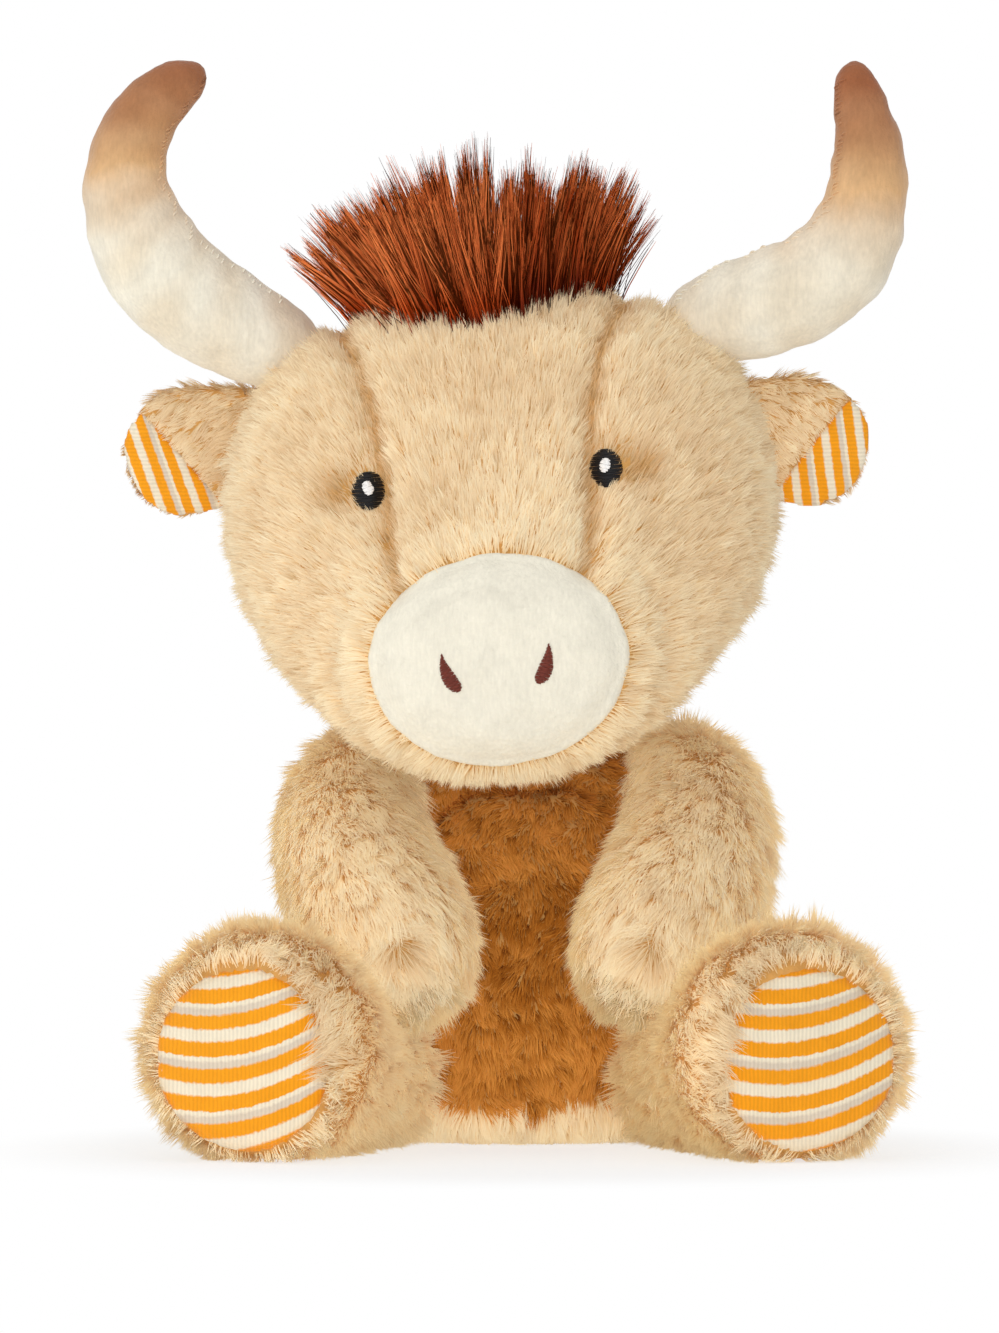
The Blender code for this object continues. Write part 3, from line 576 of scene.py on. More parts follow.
def striped_velboa(name, lean=(0.0, 0.0, 1.0), shift=0.0, pitch=1.0, bow=0.0, centre=0.0):
    """Velboa roller-printed with stripes: orange, with cream and grey-beige by turns between. The
    print sits on the pile tips, so its edges are furry, and the colour is patchy where it took less.
    The pile stands in knitted ribs about 0.7 mm apart, drawn at 1.1 mm so that they show."""
    finish, tree, shader = new_finish(name, rough=0.85, sheen=0.28)
    look = colours()
    step = sizes().stripe_pitch * pitch
    place = add(tree, "ShaderNodeTexCoord")
    furry = add(
        tree,
        "ShaderNodeTexNoise",
        {"Vector": place.outputs["Object"], "Scale": 1 / (1.1 * MM), "Detail": 3.0},
    )
    across = add(
        tree,
        "ShaderNodeVectorMath",
        {0: place.outputs["Object"], 1: Vector(lean).normalized() / (2 * step)},
        operation="DOT_PRODUCT",
    )
    split = add(tree, "ShaderNodeSeparateXYZ", {"Vector": place.outputs["Object"]})
    aside = add(tree, "ShaderNodeMath", {0: split.outputs["X"], 1: centre}, operation="SUBTRACT")
    square = add(tree, "ShaderNodeMath", {0: aside.outputs[0], 1: aside.outputs[0]}, operation="MULTIPLY")
    bowed = add(
        tree,
        "ShaderNodeMath",
        {0: square.outputs[0], 1: -bow / (2 * step), 2: across.outputs["Value"]},
        operation="MULTIPLY_ADD",
    )
    edge = add(
        tree,
        "ShaderNodeMath",
        {0: furry.outputs["Fac"], 1: 0.09, 2: bowed.outputs[0]},
        operation="MULTIPLY_ADD",
    )
    placed = add(tree, "ShaderNodeMath", {0: edge.outputs[0], 1: shift + 20.0}, operation="ADD")
    turn = add(tree, "ShaderNodeMath", {0: placed.outputs[0]}, operation="FRACT")
    orange, greige = tuple(look.orange), tuple(look.greige)
    cream = between(look.cream, look.tan_middle, 0.22)
    soft = 0.02
    stops = [
        (0.0, orange),
        (0.27 - soft, orange),
        (0.27 + soft, cream),
        (0.50 - soft, cream),
        (0.50 + soft, orange),
        (0.77 - soft, orange),
        (0.77 + soft, greige),
        (0.88, greige),
        (0.93, cream),
        (1.0 - soft, cream),
        (1.0, orange),
    ]
    print_ramp = add(tree, "ShaderNodeValToRGB", {"Fac": turn.outputs[0]}, stops=stops)
    patches = add(
        tree, "ShaderNodeTexNoise", {"Vector": place.outputs["Object"], "Scale": 1 / (5 * MM), "Detail": 4.0}
    )
    worn = add(tree, "ShaderNodeMapRange", {"Value": patches.outputs["Fac"], "To Min": 0.86, "To Max": 1.06})
    toned = add(
        tree,
        "ShaderNodeMix",
        {0: 1.0, 6: print_ramp.outputs["Color"], 7: worn.outputs["Result"]},
        data_type="RGBA",
        blend_type="MULTIPLY",
    )
    ribs = add(
        tree,
        "ShaderNodeTexWave",
        {"Vector": place.outputs["Object"], "Scale": 0.32 / (1.1 * MM), "Distortion": 1.5, "Detail": 1.0},
        bands_direction="X" if abs(lean[2]) > 0.5 else "Z",
    )
    level = add(tree, "ShaderNodeMapRange", {"Value": ribs.outputs["Fac"], "To Min": 0.90, "To Max": 1.04})
    ribbed = add(
        tree,
        "ShaderNodeMix",
        {0: 1.0, 6: toned.outputs[2], 7: level.outputs["Result"]},
        data_type="RGBA",
        blend_type="MULTIPLY",
    )
    tree.links.new(ribbed.outputs[2], shader.inputs["Base Color"])
    nap_bump(tree, shader, place, size=1.0 * MM, height=0.6 * MM)
    return finish


def embroidery(name, colour, spread):
    """Rayon embroidery thread in satin stitch: smooth filament laid side by side, so it shines in
    a band across the threads. Each thread is mottled a little lighter and darker, as painted sheen."""
    finish, tree, shader = new_finish(name, rough=0.42, sheen=0.0)
    # Painted sheen: patches where single threads catch the light more.
    tone, place = mottled(tree, tuple(colour), share=spread, size=0.6 * MM)
    tree.links.new(tone, shader.inputs["Base Color"])
    nap_bump(tree, shader, place, size=0.15 * MM, height=0.05 * MM)
    return finish


def eye_thread(name):
    """Black rayon thread."""
    return embroidery(name, colours().eye_thread, spread=0.5)


def glint_thread(name):
    """White rayon thread."""
    return embroidery(name, colours().glint_thread, spread=0.08)


def nostril_thread(name):
    """Brown rayon thread, mottled lighter where single threads catch the light, as painted sheen."""
    return embroidery(name, colours().nostril_thread, spread=0.3)


# Pile

PILE_BUNDLE = 60000  # The most strands in one piece, so that each piece stays light enough to export.
PILE_FACETS = np.array([[0, 1, 3], [0, 3, 2], [2, 3, 4]])
HAIR_FACETS = np.array([[0, 1, 3], [0, 3, 2], [2, 3, 5], [2, 5, 4], [4, 5, 7], [4, 7, 6]])
ROOT_SINK = 0.3 * MM  # How deep a strand's root sits in the cloth.
DROOP = np.array((0, 0, 0.12))  # How far a strand's tip gives way to its weight.


def lay_pile(name, cloth, body, slot, finish, seed, field, crowd=1.0, clump=1.0, mess=1.0, vary=1.0):
    """Strands of pile on a cloth. The field gives each point of the cloth its share of strands,
    its strand length, comb direction, stand (1 is upright), tone and curl. Crowd multiplies the
    number of strands and clump the width of tufts. Mess is how far tufts stray from the comb and
    gather to points, and vary is how much their tones differ."""
    plan = sizes()
    rng = np.random.default_rng(seed)
    points, normals, faces = arrays(cloth)

    # Where strands are rooted: at random over the cloth, as many as its area and share give.
    corners = points[faces]
    cross = np.cross(corners[:, 1] - corners[:, 0], corners[:, 2] - corners[:, 0])
    areas = np.linalg.norm(cross, axis=1) / 2
    quota = areas * field["share"][faces].mean(1) * plan.strands_per_cm2 * 1e4 * crowd
    owner = np.repeat(np.arange(len(faces)), np.floor(quota + rng.random(len(quota))).astype(int))
    a, b = rng.random(len(owner)), rng.random(len(owner))
    over = a + b > 1
    a[over], b[over] = 1 - a[over], 1 - b[over]
    weights = np.stack([1 - a - b, a, b], 1)

    def at(values):
        values = values if values.ndim == 2 else values[:, None]
        return (values[faces[owner]] * weights[..., None]).sum(1)

    root, normal = at(points), unit(at(normals))
    count = len(root)
    comb = at(field["comb"])
    flow = np.minimum(np.linalg.norm(comb - normal * dot(comb, normal), axis=1, keepdims=True), 1)
    along = unit(comb - normal * dot(comb, normal))
    length, stand, tone, curl = (at(field[key]) for key in ("length", "stand", "tone", "curl"))

    # Which tuft each strand belongs to: that of the nearest of some strands picked as leaders.
    step = plan.clump_width * clump
    cells = max(8, int(areas[field["share"][faces].mean(1) > 0.05].sum() / step**2))
    seeds = rng.choice(count, min(cells, count), replace=False)
    finder = kdtree.KDTree(len(seeds))
    for number, pick in enumerate(seeds):
        finder.insert(root[pick], number)
    finder.balance()
    nearest = np.array([finder.find(place)[1] for place in root])
    leader = seeds[nearest]

    # How each strand rises, bends along the comb, and gathers to its leader's tip.
    twist = rng.normal(size=(len(seeds), 3))[nearest] * 0.20 * mess
    stray = rng.normal(size=(count, 3)) * 0.11
    crimp = (rng.normal(size=(len(seeds), 3)) * 0.55)[nearest] * curl
    twist = twist + stray + crimp
    lift = np.clip(stand + 0.07 * mess * rng.normal(size=(len(seeds), 1))[nearest], 0.08, 1)
    slope = np.sqrt(np.clip(1 - lift * lift, 0, 1)) * flow
    start = unit(normal * lift + along * slope + twist)
    start = unit(start + normal * np.maximum(0.12 - dot(start, normal), 0) * 1.2)
    reach = length * (1 + 0.16 * rng.normal(size=(len(seeds), 1))[nearest]).clip(0.6, 1.4)
    reach = reach * rng.uniform(0.72, 1.12, (count, 1))
    bent = unit(start + along * flow * 0.45 + twist * 0.8 - DROOP)
    bent = unit(bent + normal * np.maximum(0.02 - dot(bent, normal), 0))
    root = root - normal * ROOT_SINK
    half = root + start * reach * 0.5
    tip = half + bent * reach * 0.5
    pull = rng.uniform(0.15, 0.65, (count, 1)) * mess
    tip = tip + (tip[leader] + (root - root[leader]) * 0.25 - tip) * pull
    half = half + (half[leader] + (root - root[leader]) * 0.6 - half) * pull * 0.5

    # Its blade, which narrows to the tip, the place on the colour map, and its shading.
    side = unit(np.cross(start, normal) + 1e-9)
    turn = rng.uniform(-0.9, 0.9, (count, 1))
    flat = side * np.cos(turn) + np.cross(start, side) * np.sin(turn)
    wide = flat * plan.strand_width * rng.uniform(0.75, 1.2, (count, 1)) / 2
    verts = np.stack([root - wide, root + wide, half - wide * 0.85, half + wide * 0.85, tip], 1)
    verts[..., 2] = np.maximum(verts[..., 2], 0.25 * MM + rng.random((count, 1)) * 0.3 * MM)
    tone = tone[:, 0] + vary * (0.06 * rng.normal(size=len(seeds))[nearest] + 0.07 * rng.normal(size=count))
    tone = np.clip(tone, 0.03, 0.97)
    u = np.stack([tone - 0.02, tone + 0.02, tone - 0.02, tone + 0.02, tone], 1)
    v = np.tile(np.array([0.02, 0.02, 0.5, 0.5, 0.98]), (count, 1))
    lay = np.stack([u, v], -1)
    soft = unit(normal * 0.72 + unit(np.cross(flat, start)) * 0.22 + rng.normal(size=(count, 3)) * 0.10)
    bundles = np.array_split(np.argsort(root[:, 2]), math.ceil(count / PILE_BUNDLE))
    for number, bundle in enumerate(bundles, 1):
        label = name if len(bundles) == 1 else f"{name}_{number}"
        piece_of_pile(label, verts[bundle], lay[bundle], soft[bundle], PILE_FACETS, finish, body)


def tan_coat(name, cloth, body, seed, field, **manner):
    """Tan pile on one of the cow's tan cloths."""
    lay_pile(name, cloth, body, "tan_pile", finish_once("tan_long_pile", tan_pile), seed, field, **manner)


def tan_cloth(name, form, body, nodes):
    """A cloth form that stands for those nodes, with the knitted backing that its pile grows from."""
    return put(name, form, finish_once("knitted_backing_tan", pile_backing), body, nodes)


def piece_of_pile(name, verts, lay, soft, facets, finish, body, replaced=()):
    """Flat tapered strands as one piece, with the map that colours them and soft shading. Light
    passes between real fibres, which are far thinner, so these strands cast no shadow."""
    count, corners = verts.shape[:2]
    first = (np.arange(count) * corners)[:, None, None]
    faces = (facets[None] + first).reshape(-1, 3)
    mesh = soup(name, verts.reshape(-1, 3), faces)
    places = lay.reshape(-1, 2)[faces.ravel()]
    mesh.uv_layers.new(name="OFBake").data.foreach_set("uv", places.astype(np.float32).ravel())
    mesh.normals_split_custom_set_from_vertices(np.repeat(soft, corners, axis=0))
    piece = put(name, mesh, finish, body, replaced)
    piece.visible_shadow = False


def plain_field(points, length, stand, tone=0.0, curl=0.0):
    """The same pile all over, to be changed where it differs."""
    count = len(points)
    return {
        "share": np.ones(count),
        "length": np.full(count, length),
        "comb": np.tile(np.array((0.0, 0.0, -1.0)), (count, 1)),
        "stand": np.full(count, stand),
        "tone": np.full(count, tone) + 0.07 * ripple(points, 26 * MM, 3) + 0.04 * ripple(points, 9 * MM, 4),
        "curl": np.full(count, curl),
    }


def clear_of(field, points, normals, nodes, near=1.2 * MM):
    """No pile where the cloth lies against another piece, or on the floor."""
    gaps, _ = gap_to(points, nodes)
    field["share"][gaps < near] = 0
    field["share"][(points[:, 2] < 1.5 * MM) & (normals[:, 2] < -0.7)] = 0


def press(field, points, nodes):
    """Pile lies flat and short where another piece rests on it, and is there when that moves off."""
    gaps, _ = gap_to(points, nodes)
    near = np.exp(-((gaps / (3 * MM)) ** 2))
    field["stand"] = field["stand"] * (1 - 0.6 * near)
    field["length"] = field["length"] * (1 - 0.45 * near)


# Pieces


def torso_pieces():
    """The torso's cloth, with tan pile and the brown tummy let into it. Seams pull the cloth in."""
    nodes = ("body_skin", "tummy_panel", "base_panel", "body_stuffing")
    limbs = ("arm_skin_left", "arm_skin_right", "leg_skin_left", "leg_skin_right")
    form = stuffed_form("torso_cloth", nodes, cell=2.4 * MM, rounds=14, swell=0.9 * MM)
    points, normals, _ = arrays(form)
    skin, _ = gap_to(points, ("body_skin",))
    tummy, _ = gap_to(points, ("tummy_panel",))
    base, _ = gap_to(points, ("base_panel",))
    ranked = np.sort(np.stack([skin, tummy, base], 1), 1)
    seam = ranked[:, 1] - ranked[:, 0]
    pull = sizes().seam_depth * np.exp(-((seam / (3.2 * MM)) ** 2))
    points = points - normals * pull[:, None]
    points[:, 2] = np.maximum(points[:, 2], LOWEST)
    move_points(form, points)
    points, normals, _ = arrays(form)
    # The brown pile hangs over its lower seam in a ragged curve, and fills the chest under the chin.
    overhang = (3.5 - points[:, 0] ** 2 / (190 * MM * MM)) * MM + 1.3 * MM * ripple(points, 11 * MM, 9)
    bib = (points[:, 2] > 84 * MM) & (np.abs(points[:, 0]) < 27 * MM) & (points[:, 1] < 0)
    brown = ((tummy < skin) & (tummy < base + overhang)) | bib

    plan = sizes()
    field = plain_field(points, plan.pile_length, stand=0.46, tone=0.94)
    # Painted shade: the pile is darker along the seams, in the grooves they pull in.
    field["tone"] -= 0.30 * np.exp(-((seam / (3 * MM)) ** 2))
    clear_of(field, points, normals, ("head_stuffing", *limbs))
    field["share"][brown] = 0
    field["share"][points[:, 2] > 108 * MM] = 0
    cloth = tan_cloth("torso_cloth", form, "torso", (*nodes, "pellet_bag"))
    tan_coat("torso_pile", form, "torso", 11, field, mess=0.75)

    # The middle of the tummy is painted darkest, as painted shade between the paws, and the curls part this
    # way and that.
    painted_shade = np.exp(-(((points[:, 2] - 60 * MM) / (24 * MM)) ** 2))
    field = plain_field(points, plan.tummy_pile_length * 1.1, stand=0.5, curl=0.2)
    field["tone"] = 0.84 - 0.68 * painted_shade + 0.22 * ripple(points, 13 * MM, 5) + 0.26 * ripple(points, 6 * MM, 6)
    sway = np.stack([ripple(points, 11 * MM, 7), np.zeros(len(points)), 0.4 * ripple(points, 13 * MM, 8)], 1)
    field["comb"] = field["comb"] + 0.8 * sway
    field["share"] = brown.astype(float)
    clear_of(field, points, normals, limbs, near=0.6 * MM)
    lay_pile(
        "tummy_pile",
        form,
        "torso",
        "brown_pile",
        finish_once("brown_curled_pile", brown_pile),
        12,
        field,
        crowd=1.5,
        clump=0.62,
        mess=0.7,
        vary=3.0,
    )


NECK = Vector((0, 3, 110.5)) * MM  # The point that the head turns and nods on.
HEAD_TURN = Euler((0, -math.radians(5.5), -math.radians(3.5))).to_matrix()  # The head's sewn tilt.


def head_point(x, y, z):
    """A place given in millimetres across, back and up from the neck, in the tilted head."""
    return NECK + HEAD_TURN @ (Vector((x, y, z)) * MM)


def in_head(points):
    """Points as the tilted head has them, from the neck."""
    return (points - np.array(NECK)) @ np.array(HEAD_TURN)


def head_form():
    """The head's cloth with its seams pulled in, and how far each of its points is from a seam
    and from each panel."""
    nodes = ("head_side_left", "head_side_right", "face_gusset", "muzzle_patch", "head_stuffing")
    form = stuffed_form("head_cloth", nodes, cell=2.4 * MM, rounds=16, swell=1.0 * MM)
    points, normals, _ = arrays(form)
    panels = [gap_to(points, (node,))[0] for node in nodes[:3]]
    ranked = np.sort(np.stack(panels, 1), 1)
    seam = ranked[:, 1] - ranked[:, 0]
    local = in_head(points)
    front = (local[:, 1] < 20 * MM) & (local[:, 2] > 30 * MM)
    pull = sizes().seam_depth * 1.5 * np.exp(-((seam / (3.4 * MM)) ** 2)) * front
    for side, _ in SIDES:
        pull += 2.4 * MM * bump(middle(f"eye_{side}"), points, 9 * MM)
    patch, _ = gap_to(points, ("muzzle_patch",))
    pull += 1.2 * MM * np.exp(-(((patch - 12 * MM) / (3.5 * MM)) ** 2)) * (local[:, 2] < 40 * MM)
    points = points - normals * pull[:, None]
    move_points(form, points)
    return form, seam, panels


def head_pieces():
    """The head's cloth and its pile, laid panel by panel."""
    form, seam, panels = head_form()
    points, normals, _ = arrays(form)
    local = in_head(points)
    nodes = ("head_side_left", "head_side_right", "face_gusset", "head_stuffing")
    cloth = tan_cloth("head_cloth", form, "head", nodes)
    # The head's pile takes a darker tone than the body's, though it is the same cloth: painted shade for how
    # the head is lit.
    field = plain_field(points, sizes().face_pile_length * 1.1, stand=0.38, tone=0.72)
    hub = np.array(head_point(0, -84, 22))  # The pile is combed away from the muzzle.
    field["comb"] = unit(points - hub)
    # It falls down the back of the head, where it is paler too.
    face = np.clip(-local[:, 1] / (60 * MM), 0, 1)
    back = 1 - face
    field["tone"] += 0.16 * np.clip((local[:, 1] + 15 * MM) / (45 * MM), 0, 1)
    field["comb"] += np.array((0, 0, 0.15)) * face[:, None] - np.array((0, 0, 0.5)) * back[:, None]
    # None grows under the muzzle patch, and it stands up pale round the patch's rim.
    patch, _ = gap_to(points, ("muzzle_patch",))
    oval_out = np.hypot(local[:, 0] / (34.2 * MM), (local[:, 2] - 23 * MM) / (27.8 * MM))
    field["share"][(oval_out < 1) & (local[:, 1] < -40 * MM)] = 0
    rim = np.exp(-((patch / (5 * MM)) ** 2))
    field["stand"] += 0.08 * rim
    field["tone"] += 0.16 * np.exp(-((patch / (14 * MM)) ** 2))
    # Painted shade: a darker ring in the crease where the snout's side meets the cheeks.
    fold_and_shade = np.exp(-(((patch - 12 * MM) / (2.6 * MM)) ** 2)) * (local[:, 2] < 40 * MM)
    field["tone"] -= 0.12 * fold_and_shade
    # The forehead seams are a parting, painted dark as painted shade in the groove, with shorter pile on both
    # sides.
    front = (local[:, 1] < 20 * MM) & (local[:, 2] > 30 * MM)
    field["tone"] -= 0.65 * np.exp(-((seam / (1.5 * MM)) ** 2)) * front
    field["length"] *= 1 - 0.3 * np.exp(-((seam / (2.5 * MM)) ** 2)) * front
    for side, sign in SIDES:
        eye = middle(f"eye_{side}")
        gaps, off = gap_to(points, (f"eye_{side}",))
        field["share"][gaps < 1.3 * MM] = 0
        near = np.exp(-((gaps / (3.5 * MM)) ** 2))
        field["length"] *= 1 - 0.40 * near
        field["comb"] += off * near[:, None] * 0.3
        # Painted shade: the pile is darker round the sunken eye and in the hollow beside it.
        outer = np.array(eye) + np.array((sign * 8 * MM, 3 * MM, -2.5 * MM))  # The hollow beside the eye.
        field["tone"] -= 0.65 * bump(outer, points, 5.5 * MM)
        field["tone"] -= 0.20 * near
    under_chin = local[:, 2] < 2 * MM
    field["length"][under_chin] *= 0.8
    horns_ears = ("horn_left", "horn_right", "ear_back_left", "ear_back_right")
    clear_of(field, points, normals, (*horns_ears, "body_skin", "neck_stuffing"), near=0.8 * MM)
    field["share"][in_tuft(local) < 0.8] = 0
    sides = {
        "head_pile_left": panels[0] <= np.minimum(panels[1], panels[2]),
        "head_pile_right": panels[1] < np.minimum(panels[0], panels[2]),
    }
    sides["head_pile_brow"] = ~(sides["head_pile_left"] | sides["head_pile_right"])
    for seed, (name, region) in enumerate(sides.items()):
        part = dict(field)
        part["share"] = field["share"] * region
        tan_coat(name, form, "head", 21 + seed, part, crowd=1.2, clump=0.75, mess=0.5)


def in_tuft(local):
    """Under one inside the hair tuft's footprint on the crown, over one outside it."""
    across = local[:, 0] / (37 * MM)
    deep = (local[:, 1] + (16 - 13 * across**2) * MM) / (21 * MM)
    below_crown = local[:, 2] < 90 * MM
    return np.hypot(across, deep) + below_crown * 9


def muzzle_piece():
    """The cream patch: a crowned disc of cloth, pulled in and puckered where it is sewn on."""
    tree = seen_tree(("muzzle_patch",))
    head = made_tree("head_cloth")
    half_wide, half_high = 35.2 * MM, 28.4 * MM
    crown, tuck, pucker = 3.6 * MM, 2.6 * MM, 0.22 * MM
    rings, spokes = 26, 96
    rng = np.random.default_rng(31)
    puckers = [(rng.integers(7, 30), rng.uniform(0, math.tau), rng.uniform(0.3, 1)) for _ in range(5)]
    forward = HEAD_TURN @ Vector((0, -1, 0))
    shape = bmesh.new()
    rows = []
    for ring in range(rings + 1):
        out = math.sin(math.pi / 2 * ring / rings) if ring else 0.0
        row = []
        for spoke in range(spokes if ring else 1):
            turn = math.tau * spoke / spokes
            place = Vector((math.cos(turn) * out * half_wide, 0, math.sin(turn) * out * half_high))
            start = NECK + HEAD_TURN @ (place + Vector((0, -0.12, 23 * MM)))
            found, normal, _, _ = tree.ray_cast(start, -forward)
            if found is None:
                found, normal, _, _ = head.ray_cast(start, -forward)
                found = found + normal * 1.2 * MM
            if normal.dot(forward) < 0:
                normal = -normal
            normal = (normal + forward).normalized()
            crease = sum(math.sin(turn * n + phase) * size for n, phase, size in puckers) / 3
            rise = 1.0 * MM + crown * (1 - out**4) - tuck * out**14
            rise += crease * pucker * out**6
            row.append(shape.verts.new(found + normal * rise))
        rows.append(row)
    for spoke in range(spokes):
        after = (spoke + 1) % spokes
        shape.faces.new((rows[0][0], rows[1][spoke], rows[1][after]))
        for inner, outer in zip(rows[1:], rows[2:]):
            shape.faces.new((inner[spoke], outer[spoke], outer[after], inner[after]))
    centre = sum((v.co for v in rows[-1]), Vector()) / spokes - forward * 6 * MM
    behind = shape.verts.new(centre)
    for spoke in range(spokes):
        shape.faces.new((rows[-1][(spoke + 1) % spokes], rows[-1][spoke], behind))
    bmesh.ops.recalc_face_normals(shape, faces=shape.faces)
    smooth(shape, 2)
    mesh = bpy.data.meshes.new("muzzle_cloth")
    shape.to_mesh(mesh)
    shape.free()
    points, normals, _ = arrays(mesh)
    dents = 0.30 * ripple(points, 13 * MM, 33) + 0.10 * ripple(points, 5 * MM, 34)
    move_points(mesh, points + normals * (dents * MM)[:, None])
    finish = finish_once("brushed_velboa", cream_velboa)
    piece = put("muzzle_cloth", mesh, finish, "head", ("muzzle_patch",))


def satin(name, outline, centre, lean, surface, finish, body, height, replaced=()):
    """A patch of satin stitch: threads laid side by side across an outline, on a padded middle.
    The outline is in millimetres round its centre, and lean turns it in the plane of the face."""
    forward = HEAD_TURN @ Vector((0, -1, 0))
    turn = Matrix.Rotation(lean, 3, "Y")
    across = HEAD_TURN @ (turn @ Vector((1, 0, 0)))
    upward = HEAD_TURN @ (turn @ Vector((0, 0, 1)))
    thread = sizes().thread_width
    outline = np.array(outline) * MM
    span = outline[:, 1].max() - outline[:, 1].min()
    rows = max(3, int(span / (thread * 0.8)))
    points, faces = [], []
    rng = np.random.default_rng(len(name) * 7 + rows)
    sides = 5
    above = 0.03  # How far in front of the face a thread's place is cast from.
    for row in range(rows):
        level = outline[:, 1].min() + span * (row + 0.5) / rows
        cuts = []
        for a, b in zip(outline, np.roll(outline, -1, 0)):
            if (a[1] - level) * (b[1] - level) < 0:
                cuts.append(a[0] + (b[0] - a[0]) * (level - a[1]) / (b[1] - a[1]))
        if len(cuts) < 2:
            continue
        left, right = min(cuts) - rng.uniform(0, 0.25) * MM, max(cuts) + rng.uniform(0, 0.25) * MM
        steps = 8
        loops = []
        for step in range(steps + 1):
            share = step / steps
            uneven = 0.06 * MM * math.sin(row * 2.3)
            place = centre + across * (left + (right - left) * share) + upward * (level + uneven)
            found = surface.ray_cast(place + forward * above, -forward)[0]
            if found is None:
                found = surface.find_nearest(place)[0]
            swell = math.sin(math.pi * share) ** 0.6
            middle_share = 1 - ((row + 0.5) / rows * 2 - 1) ** 2
            top = found + forward * (height * swell * (0.45 + 0.55 * middle_share) + 0.1 * MM)
            loop = []
            for corner in range(sides):
                angle = math.tau * corner / sides
                radius = thread / 2 * (0.75 + 0.45 * swell)
                loop.append(len(points))
                round_it = upward * math.cos(angle) * radius
                points.append(top + round_it + forward * math.sin(angle) * radius * 0.9)
            loops.append(loop)
        faces += tube_faces(loops)
    mesh = soup(name, np.array([tuple(p) for p in points]), np.array(faces))
    return put(name, mesh, finish, body, replaced)


def oval(width, height):
    """An oval outline for a patch of stitches, in millimetres."""
    turns = [math.tau * step / 40 for step in range(40)]
    return [(math.cos(turn) * width / 2, math.sin(turn) * height / 2) for turn in turns]


def drop(width, height, sign):
    """A comma-shaped nostril: round below, with a tail that curls up and outward."""
    found = []
    for step in range(48):
        turn = math.tau * step / 48
        narrow = 0.82 * math.sin(turn / 2) ** 1.3
        up = math.cos(turn) * height / 2
        bend = sign * 0.16 * width * (1 - (2 * up / height) ** 2)
        found.append((math.sin(turn) * narrow * width / 2 + bend, up))
    return found


def face_threads():
    """Eyes stitched on the head, a glint on each, and nostrils on the muzzle."""
    head, muzzle = made_tree("head_cloth"), made_tree("muzzle_cloth")
    for side, sign in SIDES:
        satin(
            f"eye_stitch_{side}",
            oval(9.0, 10.4),
            middle(f"eye_{side}"),
            0.0,
            head,
            finish_once("rayon_thread_black", eye_thread),
            "head",
            2.8 * MM,
            (f"eye_{side}",),
        )
        satin(
            f"eye_glint_stitch_{side}",
            oval(2.6, 3.9),
            middle(f"eye_glint_{side}"),
            0.3 * sign,
            made_tree(f"eye_stitch_{side}"),
            finish_once("rayon_thread_white", glint_thread),
            "head",
            0.35 * MM,
            (f"eye_glint_{side}",),
        )
        satin(
            f"nostril_stitch_{side}",
            drop(6.2, 11.2, sign),
            middle(f"nostril_{side}"),
            sign * math.radians(20),
            muzzle,
            finish_once("rayon_thread_brown", nostril_thread),
            "head",
            0.55 * MM,
            (f"nostril_{side}",),
        )


def horn_pieces():
    """Both horns: stuffed cloth that wrinkles in folds across its curve."""
    for side, sign in SIDES:
        nodes = (f"horn_{side}", f"horn_stuffing_{side}")
        form = stuffed_form(f"horn_cloth_{side}", nodes, cell=1.4 * MM, rounds=14, swell=0.6 * MM)
        points, normals, _ = arrays(form)
        pivot = np.array((sign * 72 - 4, 0, 273)) * MM  # The middle of the horn's curve: folds point to it.
        reach = np.hypot(points[:, 0] - pivot[0], points[:, 2] - pivot[2])
        turn = np.arctan2(points[:, 2] - pivot[2], sign * (points[:, 0] - pivot[0]))
        banded = np.stack([turn * 34 * MM, reach * 0.35, points[:, 1] * 0.5], 1)
        # The fold pattern both presses the cloth in and, in the material, paints shade into the creases.
        fold_and_shade = np.clip(0.5 + 0.6 * ripple(banded, 10 * MM, 43), 0, 1)
        wrinkle = 0.2 * ripple(points, 9 * MM, 41) + 0.1 * ripple(points, 4 * MM, 42) - 0.55 * fold_and_shade
        move_points(form, points + normals * (wrinkle * MM)[:, None])
        form.attributes.new("fold_and_shade", "FLOAT", "POINT").data.foreach_set("value", fold_and_shade.astype(np.float32))
        finish = finish_once("sprayed_velboa", horn_velboa)
        piece = put(f"horn_cloth_{side}", form, finish, "head", nodes)
        horn_seam(side, sign, form)


def horn_seam(side, sign, form):
    """Overcast stitches that close the horn along its inner edge, from the bend to the tip."""
    points, normals, _ = arrays(form)
    low, high = 232 * MM, points[:, 2].max() - 5 * MM
    reach, thick = 1.3 * MM, 0.26 * MM
    rows, sides, steps = 46, 6, 6
    verts, faces = [], []
    for row in range(rows):
        level = low + (high - low) * row / (rows - 1)
        ring = np.flatnonzero((np.abs(points[:, 2] - level) < 1.2 * MM) & (normals[:, 1] < 0.1))
        edge = ring[np.argmin(sign * points[ring, 0] + 0.6 * points[ring, 1])]
        out = Vector(normals[edge])
        along = Vector((sign * 0.15, 0, 1)).cross(out).cross(out).normalized() * -1
        across = along.cross(out).normalized() + along * 0.5
        loops = []
        for step in range(steps + 1):
            share = step / steps * 2 - 1
            place = Vector(points[edge]) + across * share * reach
            place += out * (0.25 - 0.55 * share * share) * MM
            loop = []
            for corner in range(sides):
                angle = math.tau * corner / sides
                loop.append(len(verts))
                verts.append(place + (out * math.cos(angle) + along * math.sin(angle)) * thick)
            loops.append(loop)
        faces += tube_faces(loops)
    mesh = soup(f"horn_seam_{side}", np.array([tuple(v) for v in verts]), np.array(faces))
    finish = finish_once("polyester_thread_horn", horn_thread)
    put(f"horn_seam_{side}", mesh, finish, "head")


